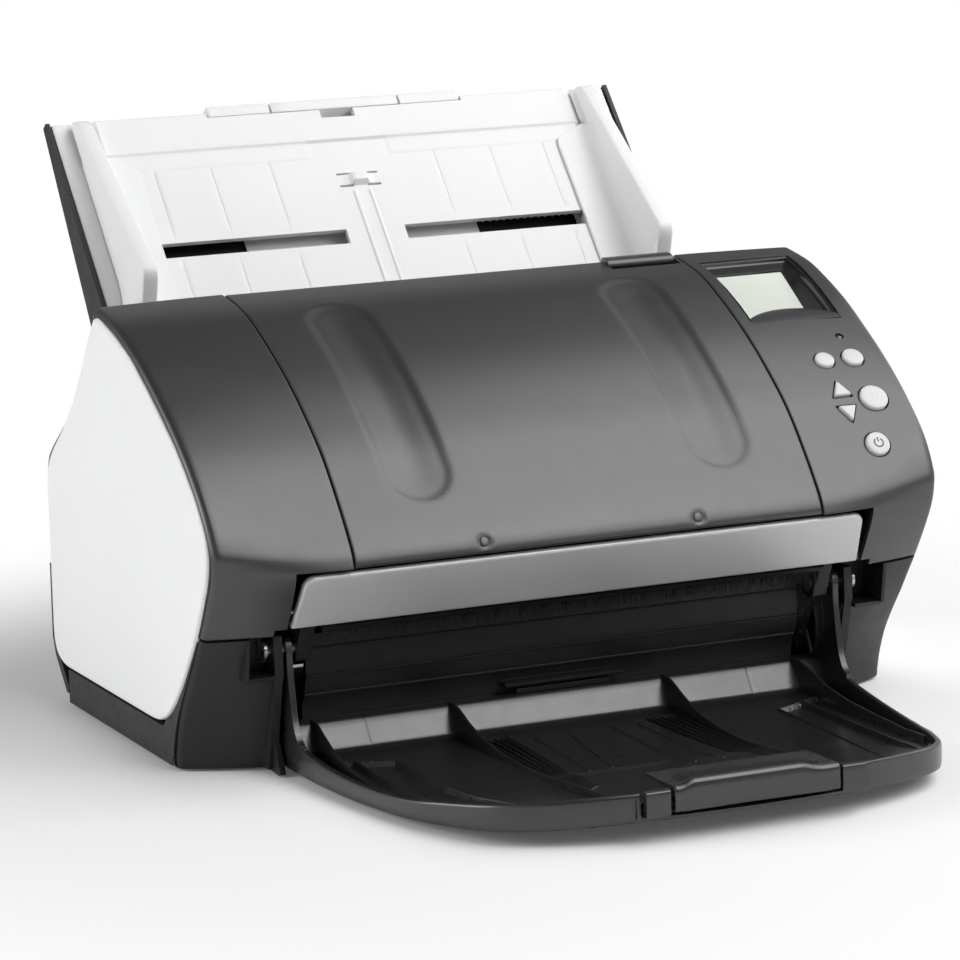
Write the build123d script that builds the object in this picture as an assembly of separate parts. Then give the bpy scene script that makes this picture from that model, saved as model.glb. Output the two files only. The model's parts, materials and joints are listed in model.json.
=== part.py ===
from build123d import *
import math
import os

# Compact desktop sheet-fed document scanner, one STEP file per piece.
# Frame: X to the operator's right, Y to the rear, Z up, millimetres. The origin is on the desk
# plane at the middle of the whole footprint, from the output tray's front edge to the top of
# the chute. Shapes are drawn with y = 0 midway through the casing and moved back by
# FOOTPRINT_SHIFT when they are written. Outlines are (y, z) points unless noted otherwise.

# ---------------------------------------------------------------- driving dimensions
CASE_HALF = 148.2           # half width of the dark casing shells
REAR_Y = 91.0               # rear face of the casing
SEAM = 95.5                 # half width of the opening centre cover
SEAM_WEB = 2.2              # thickness of the webs along that seam
FLARE_WIDTH = 53.0          # width over which the casing line changes from centre to side
WALL = 2.0                  # casing wall
GAP = 0.35                  # joint gap between shells
PANEL_X = (145.9, 149.5)    # inner and outer face of the white side panels
PIVOT = (-64.0, 47.0)       # y, z of the hinge line shared by front unit and output tray
PIN_R = 3.0                 # hinge pin radius
RUN = 0.06                  # radial running clearance
CHUTE_ORIGIN = (100.0, 168.0)   # y, z of the lower edge of the chute's slots
CHUTE_ANGLE = math.radians(48.4)
CHUTE_DIR = (math.cos(CHUTE_ANGLE), math.sin(CHUTE_ANGLE))   # y, z up the chute
PATH_TOP = (40.0, 107.0)    # y, z of the upper end of the straight paper run
PATH_EXIT = (-78.0, 50.0)   # y, z of its exit end
FOOTPRINT_SHIFT = 32.8      # from mid-casing to the middle of the footprint
SIDES = (-1, 1)             # left, right

# casing line from the rear top edge round the nose to the seam with the base:
# in the centre, and at the outer edge of the casing
TOP_CENTRE = [
    (29, 163.5), (13, 160.5), (0.5, 156.6), (-17, 148.3), (-33.5, 139), (-49.5, 128),
    (-64.5, 115.8), (-77.5, 101.5), (-88.0, 88.2), (-91.6, 81.5), (-91.8, 76.5), (-87, 66),
    (-81, 54.4)]
TOP_SIDE = [
    (28.4, 162.6), (12.4, 159.9), (-0.3, 155.7), (-17.3, 148.3), (-33.0, 139.3),
    (-48.6, 129.4), (-63.8, 117.8), (-78.0, 103.9), (-85.7, 91.0), (-86.3, 84.2),
    (-84.2, 76.5), (-78.9, 66.6), (-71.3, 54.4)]
# the same two lines on the base, from the seam down
LOW_CENTRE = [(-80.6, 53.9), (-76.6, 46), (-72.4, 38), (-68.2, 30), (-64.6, 21), (-61.5, 11),
              (-59.6, 1.0)]
LOW_SIDE = [(-71.0, 53.9), (-65.4, 46), (-59.8, 38), (-53.8, 30), (-47.8, 21), (-43.5, 11),
            (-41.0, 1.0)]
REAR_SLOPE = [(30.9, 157.6), (54.5, 125.6), (70.0, 112.4), (85.2, 101.0), (REAR_Y, 89.1)]
SIDE_PANEL = [
    (25.5, 161.0), (7.7, 156.7), (-10.7, 149.8), (-26.5, 140.9), (-40.5, 132.4), (-54, 123.5),
    (-64, 115.3), (-73.7, 106.5), (-81.6, 96.2), (-84.6, 87.6), (-82.7, 78.1), (-77, 67.3),
    (-71.4, 57.4), (-66.5, 50.5), (-60.5, 42.5), (-51.7, 31.5), (-43.1, 23.1), (-36.0, 18.2),
    (-29.0, 15.9), (-22.3, 15.3), (75, 15.3), (83.5, 18.5), (87.2, 25.4), (87.6, 91.0),
    (82.4, 99.6), (67.9, 111.0), (53.0, 125.0), (29.5, 157.0)]

PARTS = {}                  # piece name -> its solids


# ---------------------------------------------------------------- helpers
def add(name, *shapes):
    """File the solids of the shapes under a piece's name."""
    PARTS[name] = []
    for shape in shapes:
        PARTS[name] += (ShapeList(shape) if isinstance(shape, list) else shape).solids()


def largest(shape):
    return max(shape.solids(), key=lambda solid: solid.volume)


def mirrored(shape):
    return mirror(shape, Plane.YZ)


def box(x0, x1, y0, y1, z0, z1):
    centre = Pos((x0 + x1) / 2, (y0 + y1) / 2, (z0 + z1) / 2)
    return centre * Box(abs(x1 - x0), abs(y1 - y0), abs(z1 - z0))


def face_yz(points, x):
    return Face(Wire.make_polygon([Vector(x, y, z) for y, z in points], close=True))


def face_xy(points, z):
    return Face(Wire.make_polygon([Vector(x, y, z) for x, y in points], close=True))


def prism(points, x0, x1):
    return Solid.extrude(face_yz(points, x0), Vector(x1 - x0, 0, 0))


def across(points, half):
    """Prism reaching the same distance left and right of the centre."""
    return prism(points, -half, half)


def slab(points, z0, z1):
    return Solid.extrude(face_xy(points, z0), Vector(0, 0, z1 - z0))


def rod(x0, x1, centre, radius):
    """Cylinder along X round the (y, z) centre."""
    return Pos((x0 + x1) / 2, *centre) * Rot(0, 90, 0) * Cylinder(radius, abs(x1 - x0))


def frame_at(x, y, z, normal_y, normal_z):
    """Location whose local z is the outward normal at that point."""
    return Plane(origin=(x, y, z), x_dir=(1, 0, 0), z_dir=(0, normal_y, normal_z)).location


def smooth(points, steps=5):
    """Catmull-Rom line through the points, with that many steps per span."""
    out = []
    for i in range(len(points) - 1):
        before = points[max(i - 1, 0)]
        after = points[min(i + 2, len(points) - 1)]
        for k in range(steps):
            t = k / steps
            out.append(tuple(
                0.5 * ((2 * b) + (c - a) * t + (2 * a - 5 * b + 4 * c - d) * t * t +
                       (3 * b - a - 3 * c + d) * t ** 3)
                for a, b, c, d in zip(before, points[i], points[i + 1], after)))
    out.append(tuple(points[-1]))
    return out


def inset(points, depth):
    """Points of an open casing line moved towards the inside."""
    out = []
    for i, (y, z) in enumerate(points):
        y0, z0 = points[max(i - 1, 0)]
        y1, z1 = points[min(i + 1, len(points) - 1)]
        length = math.hypot(y1 - y0, z1 - z0)
        out.append((y - (z1 - z0) / length * depth, z + (y1 - y0) / length * depth))
    return out


def casing_line(centre_line, side_line, x):
    """Casing line at x, blended between the centre and the side line."""
    w = min(1.0, (max(0.0, abs(x) - SEAM) / FLARE_WIDTH) ** 1.8)
    return [(a[0] * (1 - w) + b[0] * w, a[1] * (1 - w) + b[1] * w)
            for a, b in zip(centre_line, side_line)]


def loft_x(sections):
    """Loft along X of sections (x, spline points, points that close the outline)."""
    wires = []
    for x, curve, rest in sections:
        edges = [Edge.make_spline([Vector(x, y, z) for y, z in curve])]
        chain = [curve[-1]] + rest + [curve[0]]
        for (y0, z0), (y1, z1) in zip(chain, chain[1:]):
            edges.append(Edge.make_line(Vector(x, y0, z0), Vector(x, y1, z1)))
        wires.append(Wire(edges))
    return Solid.make_loft(wires, ruled=False)


def path(along, above=0.0):
    """(y, z) of a point along the straight paper run from its upper end, and above it."""
    run_y, run_z = PATH_EXIT[0] - PATH_TOP[0], PATH_EXIT[1] - PATH_TOP[1]
    length = math.hypot(run_y, run_z)
    dy, dz = run_y / length, run_z / length
    return (PATH_TOP[0] + dy * along + dz * above, PATH_TOP[1] + dz * along - dy * above)


def path_prism(stations, x0, x1):
    """Prism whose section is given as (along, above) on the paper run."""
    return prism([path(*station) for station in stations], x0, x1)


def path_box(along0, along1, above0, above1, x0, x1):
    return path_prism([(along0, above0), (along1, above0), (along1, above1),
                       (along0, above1)], x0, x1)


# ---------------------------------------------------------------- side covers
def side_cover():
    """Right-hand upper casing shell, before the panel openings are cut."""
    first_x = SEAM + GAP
    rest = [(REAR_Y, 54.4)] + list(reversed(REAR_SLOPE))
    outer = loft_x([(x, casing_line(TOP_CENTRE, TOP_SIDE, x), rest)
                    for x in (first_x, 108.0, 122.0, 136.0, CASE_HALF)])
    rest = [(REAR_Y - WALL, 40.0), (REAR_Y - WALL, 88.6), (84.0, 99.4), (69.0, 110.5),
            (53.2, 124.8), (29.2, 157.0)]
    sections = []
    for x in (first_x + SEAM_WEB, 110.0, 122.0, 136.0, CASE_HALF + 2):
        curve = inset(casing_line(TOP_CENTRE, TOP_SIDE, x), WALL)
        curve[0] = (26.8, curve[0][1])
        curve[-1] = (curve[-1][0], 52.0)
        sections.append((x, curve, [(curve[-1][0] + 2.0, 40.0)] + rest))
    cover = outer - loft_x(sections)
    # the inboard web ends above the paper path, and the rear stops short of the chute
    cover = cover - prism([(62, 122), path(2, 9), path(140, 9), (-120, 30), (100, 30),
                           (100, 122)], first_x - 1, first_x + 2.5)
    cover = cover - box(90, 124.7, 58.0, 100, 40, 140)
    # recess for the ends of the front strip
    cover = cover - box(90, 117.9, -110, -55, 40, 79.4)
    # space round the hinge line
    return cover - box(90, 122.5, -80, -52, 40, 57)


side_shell = side_cover()
add("left_top_cover", largest(mirrored(side_shell)))
right_cover = largest(side_shell)

# ---------------------------------------------------------------- operator panel, right cover
# places on the cover surface: x, y, z, then y, z of the outward normal
ARROWS = {                  # name: place, radius, points up
    "up_button": ((120.6, -60.1, 120.0, -0.642, 0.766), 3.6, True),
    "down_button": ((120.2, -68.4, 112.4, -0.711, 0.703), 3.6, False),
}
ROUNDS = {                  # name: place, radius, edge rounding
    "menu_button": ((121.0, -47.6, 129.5, -0.578, 0.816), 3.9, 0.9),
    "stop_button": ((133.2, -47.9, 129.6, -0.573, 0.820), 4.3, 0.9),
    "scan_button": ((132.9, -64.6, 116.4, -0.668, 0.744), 5.7, 1.2),
    "power_button": ((126.6, -78.6, 101.3, -0.778, 0.628), 4.9, 0.9),
}
BUTTON_ORDER = ("menu_button", "stop_button", "up_button", "down_button", "scan_button",
                "power_button")
DISPLAY = (120.2, -4.0, 154.4, -0.405, 0.914)
STATUS_LIGHT = (133.5, -37.2, 136.7, -0.537, 0.844)
CAP_HEIGHT = 5.0
CAP_BASE = -4.3             # underside of a button cap below the cover surface
HOLE_DEPTH = 12             # panel cutters, centred on the surface
BOARD_LINE = [(-37.0, 125.0), (-81.0, 83.5)]   # outer face of the button board


def arrow(radius, up):
    tip = radius if up else -radius
    return Polygon((0, tip * 1.12), (-radius * 1.05, -tip * 0.85),
                   (radius * 1.05, -tip * 0.85), align=None)


def arrow_button(radius, up):
    """Triangular cap with a short stem, and the cutter for its opening."""
    hole = Pos(0, 0, -HOLE_DEPTH / 2) * extrude(arrow(radius + 0.75, up), HOLE_DEPTH)
    cap = extrude(arrow(radius, up), CAP_HEIGHT)
    cap = Pos(0, 0, CAP_BASE) * fillet(cap.edges().group_by(Axis.Z)[-1], 0.4)
    return cap + Pos(0, 0, -4.6) * Cylinder(1.5, 0.8), hole


def round_button(radius, rounding):
    """Round cap, and the cutter for its opening."""
    hole = Cylinder(radius + 0.35, HOLE_DEPTH)
    cap = Pos(0, 0, CAP_BASE) * Cylinder(radius, CAP_HEIGHT,
                                         align=(Align.CENTER, Align.CENTER, Align.MIN))
    return fillet(cap.edges().group_by(Axis.Z)[-1], rounding), hole


def display_bezel():
    """Shallow tray with a window for the display."""
    bezel = Pos(0, 0, -4.0) * Box(39.0, 48.0, 7.0)
    bezel = bezel - Pos(0, 0, -1.6) * Box(36.6, 45.6, 7.0)
    return bezel - Pos(-1.0, 1.0, -6) * Box(31.2, 25.2, 8)


for name in BUTTON_ORDER:
    if name in ARROWS:
        place, radius, up = ARROWS[name]
        cap, hole = arrow_button(radius, up)
    else:
        place, radius, rounding = ROUNDS[name]
        cap, hole = round_button(radius, rounding)
    right_cover = right_cover - frame_at(*place) * hole
    add(name, frame_at(*place) * cap)

display_frame = frame_at(*DISPLAY)
right_cover = right_cover - display_frame * Box(39.6, 48.6, 24)
add("lcd_bezel", display_frame * display_bezel())
add("lcd_display", display_frame * (Pos(-1.0, 1.0, -6.6) * Box(30.8, 24.8, 4.2) +
                                    Pos(-1.0, 1.0, -9.6) * Box(36.0, 30.0, 3.0)))
light_frame = frame_at(*STATUS_LIGHT)
right_cover = right_cover - light_frame * Cylinder(1.5, HOLE_DEPTH)
add("status_light", light_frame * (Pos(0, 0, -2.0) * Cylinder(1.35, 4.2)))
add("right_top_cover", largest(right_cover))

# button circuit board under the panel, on a chord of the curved surface
add("panel_board", prism(BOARD_LINE + inset(BOARD_LINE, 1.6)[::-1], 104, 142))


# ---------------------------------------------------------------- white side panels
def side_panel():
    outline = offset(face_yz(SIDE_PANEL, 0), amount=-0.8, kind=Kind.INTERSECTION).faces()[0]
    panel = Solid.extrude(outline, Vector(PANEL_X[1] - PANEL_X[0], 0, 0))
    panel = panel.moved(Location((PANEL_X[0], 0, 0)))
    # if the many-sided outer edge can't be chamfered, the panel keeps it sharp
    try:
        return chamfer(panel.faces().sort_by(Axis.X)[-1].edges(), 0.7)
    except Exception:
        return panel


right_panel = side_panel()
add("right_side_panel", right_panel)
add("left_side_panel", mirrored(right_panel))

# ---------------------------------------------------------------- base tray
EXIT_HALF = 102.3           # half width of the wall under the paper outlet
FOOT_R = 7.0
SCREW_SPOTS = [(x, y) for x in (-128, 128) for y in (-28, 60)]
FOOT_SPOTS = [(x, y) for y in (-34, 64) for x in (-118, 118)]
FLOOR = [(-146.5, -38), (-119, -52), (-102.5, -53.5), (102.5, -53.5), (119, -52),
         (146.5, -38), (146.5, 74), (-146.5, 74)]   # x, y
EXIT_WALL = [(-58.2, 49.5), (-55.8, 49.5), (-55.8, 33.5), (-51.0, 20), (-51.0, 3), (-53.4, 3),
             (-53.4, 20.5), (-58.2, 34.0)]
EXIT_LEDGE = [(-59.6, 33.2), (-57.6, 33.2), (-57.6, 34.4), (-59.6, 34.4)]
PIN_WEB = [(-62, 1.5), (-30, 1.5), (-40, 34), (-56.5, 53.0), (-70.5, 53.0), (-71.2, 41)]


def base_corner():
    """Right front corner of the base, with the web that carries the hinge pin."""
    outer = loft_x([(x, casing_line(LOW_CENTRE, LOW_SIDE, x), [(-30, 1.0), (-30, 53.9)])
                    for x in (115.2, 122.0, 130.0, 140.0, CASE_HALF)])
    sections = []
    for x in (117.4, 123.0, 130.0, 140.0, CASE_HALF + 1.5):
        curve = inset(casing_line(LOW_CENTRE, LOW_SIDE, x), WALL)
        curve[0] = (curve[0][0], 56.0)
        curve[-1] = (curve[-1][0], 3.2)
        sections.append((x, curve, [(-20, 3.2), (-20, 56.0)]))
    corner = outer - loft_x(sections)
    # notch in the front wall beside the hinge
    corner = corner - box(112, 130.6, -90, -54, 38.8, 60)
    corner = corner - box(112, 117.4, -90, -20, 40, 60)
    web = prism(PIN_WEB, 116.0, 119.6)
    return corner + (web - rod(110, 125, PIVOT, PIN_R + 0.02))


def base_tray():
    corner = base_corner()
    base = corner + mirrored(corner)
    base = base + slab(FLOOR, 1.6, 4.2)
    side_wall = box(145.0, CASE_HALF, -43, 74.2, 1.0, 14.8) - box(140, 146.0, -60, 90, 4.0, 20)
    base = base + side_wall + mirrored(side_wall)
    base = base + across(EXIT_WALL, EXIT_HALF)
    base = base + across(EXIT_LEDGE, EXIT_HALF)
    # bosses, holes and head recesses for the casing screws
    for x, y in SCREW_SPOTS:
        base = base + Pos(x, y, 5.5) * Cylinder(6, 3)
        base = base - Pos(x, y, 2.0) * Cylinder(1.7, 14)
        base = base - Pos(x, y, 2.0) * Cylinder(3.6, 1.4)
    for x, y in FOOT_SPOTS:
        base = base - Pos(x, y, 1.6) * Cylinder(FOOT_R + 0.15, 2.0)
    return largest(base)


def rubber_foot(x, y):
    foot = Pos(x, y, 1.25) * Cylinder(FOOT_R, 2.5)
    return fillet(foot.edges().group_by(Axis.Z)[0], 0.6)


def casing_screw(x, y):
    screw = Pos(x, y, 4.0) * Cylinder(1.5, 7.4) + Pos(x, y, 2.0) * Cylinder(2.8, 1.2)
    return screw - Pos(x, y, 1.5) * Cylinder(0.9, 1.0)


add("base_tray", base_tray())
add("rubber_feet", *[rubber_foot(x, y) for x, y in FOOT_SPOTS])
add("casing_screws", *[casing_screw(x, y) for x, y in SCREW_SPOTS])

# ---------------------------------------------------------------- rear cover
REAR_HALF = 124.0           # half width of the part above the base
REAR_LOW = [(REAR_Y, 54.0), (REAR_Y, 25), (88, 17.6), (76.5, 5.0), (74.6, 5.0), (74.6, 8.5),
            (84, 18.5), (88.6, 25.6), (88.6, 54.0)]
REAR_HIGH = [(REAR_Y, 53.5), (REAR_Y, 124.0), (86.0, 122.9), (67.0, 116.6), (59.5, 114.4),
             (59.5, 112.0), (67.6, 114.2), (86.6, 120.4), (88.6, 120.8), (88.6, 53.5)]
REAR_END = [(88.8, 54), (88.8, 121), (60, 112.6), (60, 106), (80, 100), (82, 54)]
VENT_COUNT, VENT_PITCH, VENT_HEIGHT, VENT_BOTTOM = 14, 3.6, 1.6, 62
PLAIN_VENT = 6              # this row is left closed
# openings in the rear wall: x0, x1, z0, z1
USB_HOLE = (58.0, 71.0, 27.0, 39.0)
POWER_HOLE = (80.0, 90.0, 27.0, 37.0)
SMALL_SLOT = (-92, -84, 30.0, 34.0)


def rear_opening(x0, x1, z0, z1):
    return box(x0, x1, 80, 95, z0, z1)


def rear_cover():
    rear = across(REAR_LOW, CASE_HALF)
    rear = rear + across(REAR_HIGH, REAR_HALF)
    rear = rear + prism(REAR_END, REAR_HALF - 2.2, REAR_HALF) \
        + prism(REAR_END, -REAR_HALF, 2.2 - REAR_HALF)
    for i in range(VENT_COUNT):
        z = VENT_BOTTOM + i * VENT_PITCH
        if i != PLAIN_VENT:
            rear = rear - rear_opening(-80, -30, z, z + VENT_HEIGHT)
            rear = rear - rear_opening(30, 80, z, z + VENT_HEIGHT)
    rear = rear - rear_opening(*USB_HOLE) - rear_opening(*POWER_HOLE)
    return largest(rear - rear_opening(*SMALL_SLOT))


def socket_block(x0, x1, z0, z1, clearance=0.3):
    return box(x0 + clearance, x1 - clearance, 80.5, 90.6, z0 + clearance, z1 - clearance)


def usb_socket():
    socket = socket_block(*USB_HOLE) - box(60.3, 68.7, 82.5, 92, 29.3, 36.9)
    return socket + box(62.0, 67.0, 82.0, 89.0, 32.2, 34.0)


def power_socket():
    socket = socket_block(*POWER_HOLE) - Pos(85, 90, 32) * Rot(90, 0, 0) * Cylinder(3.2, 16)
    return socket + Pos(85, 85.4, 32) * Rot(90, 0, 0) * Cylinder(0.9, 9.0)


add("rear_cover", rear_cover())
add("rear_sockets", usb_socket(), power_socket())

# ---------------------------------------------------------------- roller layout
NIP = 0.1                   # gap between a tyre and the paper line
PICK_AT, FEED_AT, EJECT_AT = 16, 48, 100        # stations along the paper run
PICK_TYRE_R, DRIVE_TYRE_R = 12.0, 8.0
BRAKE_TYRE_R, PINCH_R = 10.0, 6.0
PICK_HUB_R, DRIVE_HUB_R, BRAKE_HUB_R = 7.0, 5.5, 6.0
ROLLER_X = 45               # feed and eject rollers each side of the centre
SHAFT_R = 3.0
PINCH_SHAFT_R = 2.0
PICK = path(PICK_AT, -(PICK_TYRE_R + NIP))
FEED = path(FEED_AT, -(DRIVE_TYRE_R + NIP))
EJECT = path(EJECT_AT, -(DRIVE_TYRE_R + NIP))
BRAKE = path(PICK_AT, BRAKE_TYRE_R + NIP)
FEED_PINCH = path(FEED_AT, PINCH_R + NIP)
EJECT_PINCH = path(EJECT_AT, PINCH_R + NIP)
DRIVEN = (PICK, FEED, EJECT)
MOTOR = (48.0, 42.0)


def tyre(centre, x0, x1, radius, hub_radius):
    """Rubber sleeve with grooves about 4 mm apart."""
    sleeve = rod(x0, x1, centre, radius) - rod(x0 - 1, x1 + 1, centre, hub_radius + 0.05)
    count = int((x1 - x0) / 4)
    for i in range(1, count):
        x = x0 + (x1 - x0) * i / count
        sleeve = sleeve - (rod(x - 0.3, x + 0.3, centre, radius + 1) -
                           rod(x - 0.4, x + 0.4, centre, radius - 0.7))
    return sleeve


# ---------------------------------------------------------------- chassis
TIES = ((66, 13.5), (-22, 14), (64, 84))
FRAME_PLATE = [(-52, 9), (72, 9), (72, 92), (50, 106), (36, 104), (14, 96), (-54, 64),
               (-54, 40), (-44, 24)]
BUSH_R = 4.95


def frame_plate(side):
    """Side plate with shaft, motor and tie bar holes and an inward foot."""
    x0, x1 = sorted((side * 113.6, side * 114.8))
    plate = prism(FRAME_PLATE, x0, x1)
    for centre in DRIVEN:
        plate = plate - rod(x0 - 1, x1 + 1, centre, BUSH_R + 0.05)
    if side < 0:
        plate = plate - rod(x0 - 1, x1 + 1, MOTOR, 8.0)
    for centre in TIES:
        plate = plate - rod(x0 - 1, x1 + 1, centre, 2.1)
    return plate + box(side * 105.8, side * 114.8, -20, 50, 7.8, 9.0)


def shaft_bush(centre, side):
    return (rod(side * 112.6, side * 115.8, centre, BUSH_R) -
            rod(side * 111, side * 117, centre, SHAFT_R + RUN))


add("left_frame_plate", frame_plate(-1))
add("right_frame_plate", frame_plate(1))
add("chassis_tie_bars", *[rod(-113.5, 113.5, centre, 4.0) + rod(-117.0, 117.0, centre, 2.0)
                          for centre in TIES])
add("shaft_bushes", *[shaft_bush(centre, side) for centre in DRIVEN for side in SIDES])


def lower_paper_guide():
    """Sheet from the chute end down the straight run, open for rollers and scan glass."""
    guide = across([(59.0, 121.0), (50.5, 113.2), path(-2, -1.0), path(112, -1.0),
                    path(114, -3.0), path(112, -3.6), path(-1, -3.6), (49.8, 109.6),
                    (58.6, 118.0)], 112.4)
    guide = guide - box(102.5, 120, -80, -50, 40, 80) - box(-120, -102.5, -80, -50, 40, 80)
    guide = guide - path_box(PICK_AT - 15, PICK_AT + 15, -6, 2, -21, 21)
    for side in SIDES:
        x = side * ROLLER_X
        for at in (FEED_AT, EJECT_AT):
            guide = guide - path_box(at - 11, at + 11, -6, 2, x - 13, x + 13)
    return largest(guide - path_box(64.6, 79.4, -6, 2, -108.6, 108.6))


def rear_optical_unit():
    """Scanner block below the paper run, with a light slot."""
    unit = path_box(62, 84, -4.2, -30, -107, 107)
    unit = unit + path_prism([(66, -29), (80, -29), (78, -35), (68, -35)], -70, 70)
    return unit - path_box(68, 76, -3, -14, -104, 104)


add("lower_paper_guide", lower_paper_guide())
add("rear_scan_glass", path_box(65, 79, -3.4, -1.0, -108.2, 108.2))
add("rear_optical_unit", rear_optical_unit())

# blocks on the front face of the main board: x0, x1, z0, z1, height
BOARD_BLOCKS = ((-60, -36, 40, 62, 3), (-20, -8, 30, 44, 2.4), (8, 30, 46, 62, 2.6),
                (-86, -74, 22, 34, 7), (-30, 0, 22, 28, 6), (40, 52, 50, 66, 2))
main_board = box(-96, 96, 79.0, 80.4, 20.5, 76)
for x0, x1, z0, z1, height in BOARD_BLOCKS:
    main_board = main_board + box(x0, x1, 79.2 - height, 79.2, z0, z1)
add("main_board", main_board)

# ---------------------------------------------------------------- motor, belts and driven shafts
MOTOR_PULLEY_R, LARGE_PULLEY_R, SMALL_PULLEY_R = 6.0, 12.0, 7.0
# x range of each belt
MOTOR_BELT_X = (-123.6, -118.0)
PICK_BELT_X = (-130.6, -127.0)
EJECT_BELT_X = (-136.6, -133.0)
SHAFT_END = 117.0           # right end of the driven shafts


def feed_motor():
    y, z = MOTOR
    motor = rod(-113.2, -78, MOTOR, 19.0) + box(-113.2, -111.0, y - 21, y + 21, z - 21, z + 21)
    return motor - rod(-114, -90, MOTOR, 2.4)


def motor_pulley():
    """Flanged pulley with its shaft and a pointer on the outer end."""
    y, z = MOTOR
    return (rod(-124.0, -117.6, MOTOR, MOTOR_PULLEY_R)
            + rod(-125.0, -124.0, MOTOR, MOTOR_PULLEY_R + 1.5)
            + rod(-117.6, -116.6, MOTOR, MOTOR_PULLEY_R + 1.5)
            + rod(-117.0, -95, MOTOR, 2.3)
            + box(-126.0, -125.0, y - 0.8, y + 5.5, z - 0.8, z + 0.8))


def belt_line(centre1, radius1, centre2, radius2, steps=24):
    """Outline drawn tight round two circles, its flats touching them."""
    dy, dz = centre2[0] - centre1[0], centre2[1] - centre1[1]
    base = math.atan2(dz, dy)
    wrap = math.acos((radius1 - radius2) / math.hypot(dy, dz))
    points = []
    for centre, radius, start, sweep in (
            (centre1, radius1, base + wrap, 2 * math.pi - 2 * wrap),
            (centre2, radius2, base - wrap, 2 * wrap)):
        reach = radius / math.cos(sweep / 2 / steps)
        for k in range(steps + 1):
            angle = start + sweep * k / steps
            points.append((centre[0] + reach * math.cos(angle),
                           centre[1] + reach * math.sin(angle)))
    return points


def belt(centre1, radius1, centre2, radius2, lane, thickness=1.2, gap=0.12):
    """Flat belt loop round two pulleys."""
    outer = gap + thickness
    return (prism(belt_line(centre1, radius1 + outer, centre2, radius2 + outer), *lane) -
            prism(belt_line(centre1, radius1 + gap, centre2, radius2 + gap),
                  lane[0] - 1, lane[1] + 1))


def pulley(centre, radius, lane):
    """Pulley with two flanges, a little wider than its belt."""
    x0, x1 = lane[0] - 0.3, lane[1] + 0.3
    return (rod(x0, x1, centre, radius) + rod(x0 - 0.9, x0, centre, radius + 1.6)
            + rod(x1, x1 + 0.9, centre, radius + 1.6))


def pick_shaft():
    """Shaft with the middle hub, one pulley and a pointer on the right end."""
    y, z = PICK
    shaft = rod(-131.6, SHAFT_END, PICK, SHAFT_R) + rod(-19, 19, PICK, PICK_HUB_R) \
        + pulley(PICK, SMALL_PULLEY_R, PICK_BELT_X)
    return shaft + box(SHAFT_END, 118.0, y - 0.7, y + 4.0, z - 0.7, z + 0.7) \
        + rod(116.5, 118, PICK, 2.0)


def hub_shaft(centre):
    """Shaft with two roller hubs."""
    shaft = rod(-138.0, SHAFT_END, centre, SHAFT_R)
    for side in SIDES:
        x = side * ROLLER_X
        shaft = shaft + rod(x - 11, x + 11, centre, DRIVE_HUB_R)
    return shaft


def drive_tyres(centre):
    return [tyre(centre, side * ROLLER_X - 10, side * ROLLER_X + 10, DRIVE_TYRE_R, DRIVE_HUB_R)
            for side in SIDES]


add("feed_motor", feed_motor())
add("motor_pulley", motor_pulley())
add("drive_belts",
    belt(MOTOR, MOTOR_PULLEY_R, FEED, LARGE_PULLEY_R, MOTOR_BELT_X),
    belt(FEED, SMALL_PULLEY_R, PICK, SMALL_PULLEY_R, PICK_BELT_X),
    belt(FEED, SMALL_PULLEY_R, EJECT, SMALL_PULLEY_R, EJECT_BELT_X))
add("pick_shaft", pick_shaft())
add("pick_roller_tyre", tyre(PICK, -18, 18, PICK_TYRE_R, PICK_HUB_R))
add("feed_shaft", hub_shaft(FEED) + pulley(FEED, LARGE_PULLEY_R, MOTOR_BELT_X)
    + pulley(FEED, SMALL_PULLEY_R, PICK_BELT_X) + pulley(FEED, SMALL_PULLEY_R, EJECT_BELT_X))
add("feed_roller_tyres", *drive_tyres(FEED))
add("eject_shaft", hub_shaft(EJECT) + pulley(EJECT, SMALL_PULLEY_R, EJECT_BELT_X))
add("eject_roller_tyres", *drive_tyres(EJECT))

# ---------------------------------------------------------------- opening front unit
COVER_BOTTOM = 79.6
LEVER_PIN = (29.6, 150.6)   # y, z of the release lever's pin
LEVER_PIN_R = 1.3
CAP_FRAMES = [frame_at(side * 43.7, -90.7, 84.0, -0.90, 0.436) for side in SIDES]
STRIP_TOP, STRIP_BOTTOM = (-90.7, 77.3), (-80.6, 57.1)


def front_centre_cover():
    skin = [p for p in smooth(TOP_CENTRE[:11], 4) if p[1] > COVER_BOTTOM]
    skin.append((-91.8, COVER_BOTTOM))
    cover = across(skin + [(-84.5, COVER_BOTTOM), (-74.5, COVER_BOTTOM), (-61.0, 69.8),
                           path(4, 8.5), (37.2, 118.0)], SEAM)
    inside = inset(skin, WALL + 0.2)
    inside[0] = (26.4, inside[0][1])
    inside[-1] = (inside[-1][0], 77.0)
    cover = cover - across(inside + [(-80, 70.0), (-76.0, 55), (34.6, 105), (34.8, 118.0)],
                           SEAM - SEAM_WEB)
    # notch in the top edge and pin bore for the release lever
    cover = cover - box(63.0, 94.0, 18.5, 50, 147.6, 170)
    cover = largest(cover - rod(61.8, 94.9, LEVER_PIN, LEVER_PIN_R + RUN))
    for place in CAP_FRAMES:
        cover = cover - place * Cylinder(2.0, 8)
    return largest(cover)


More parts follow.
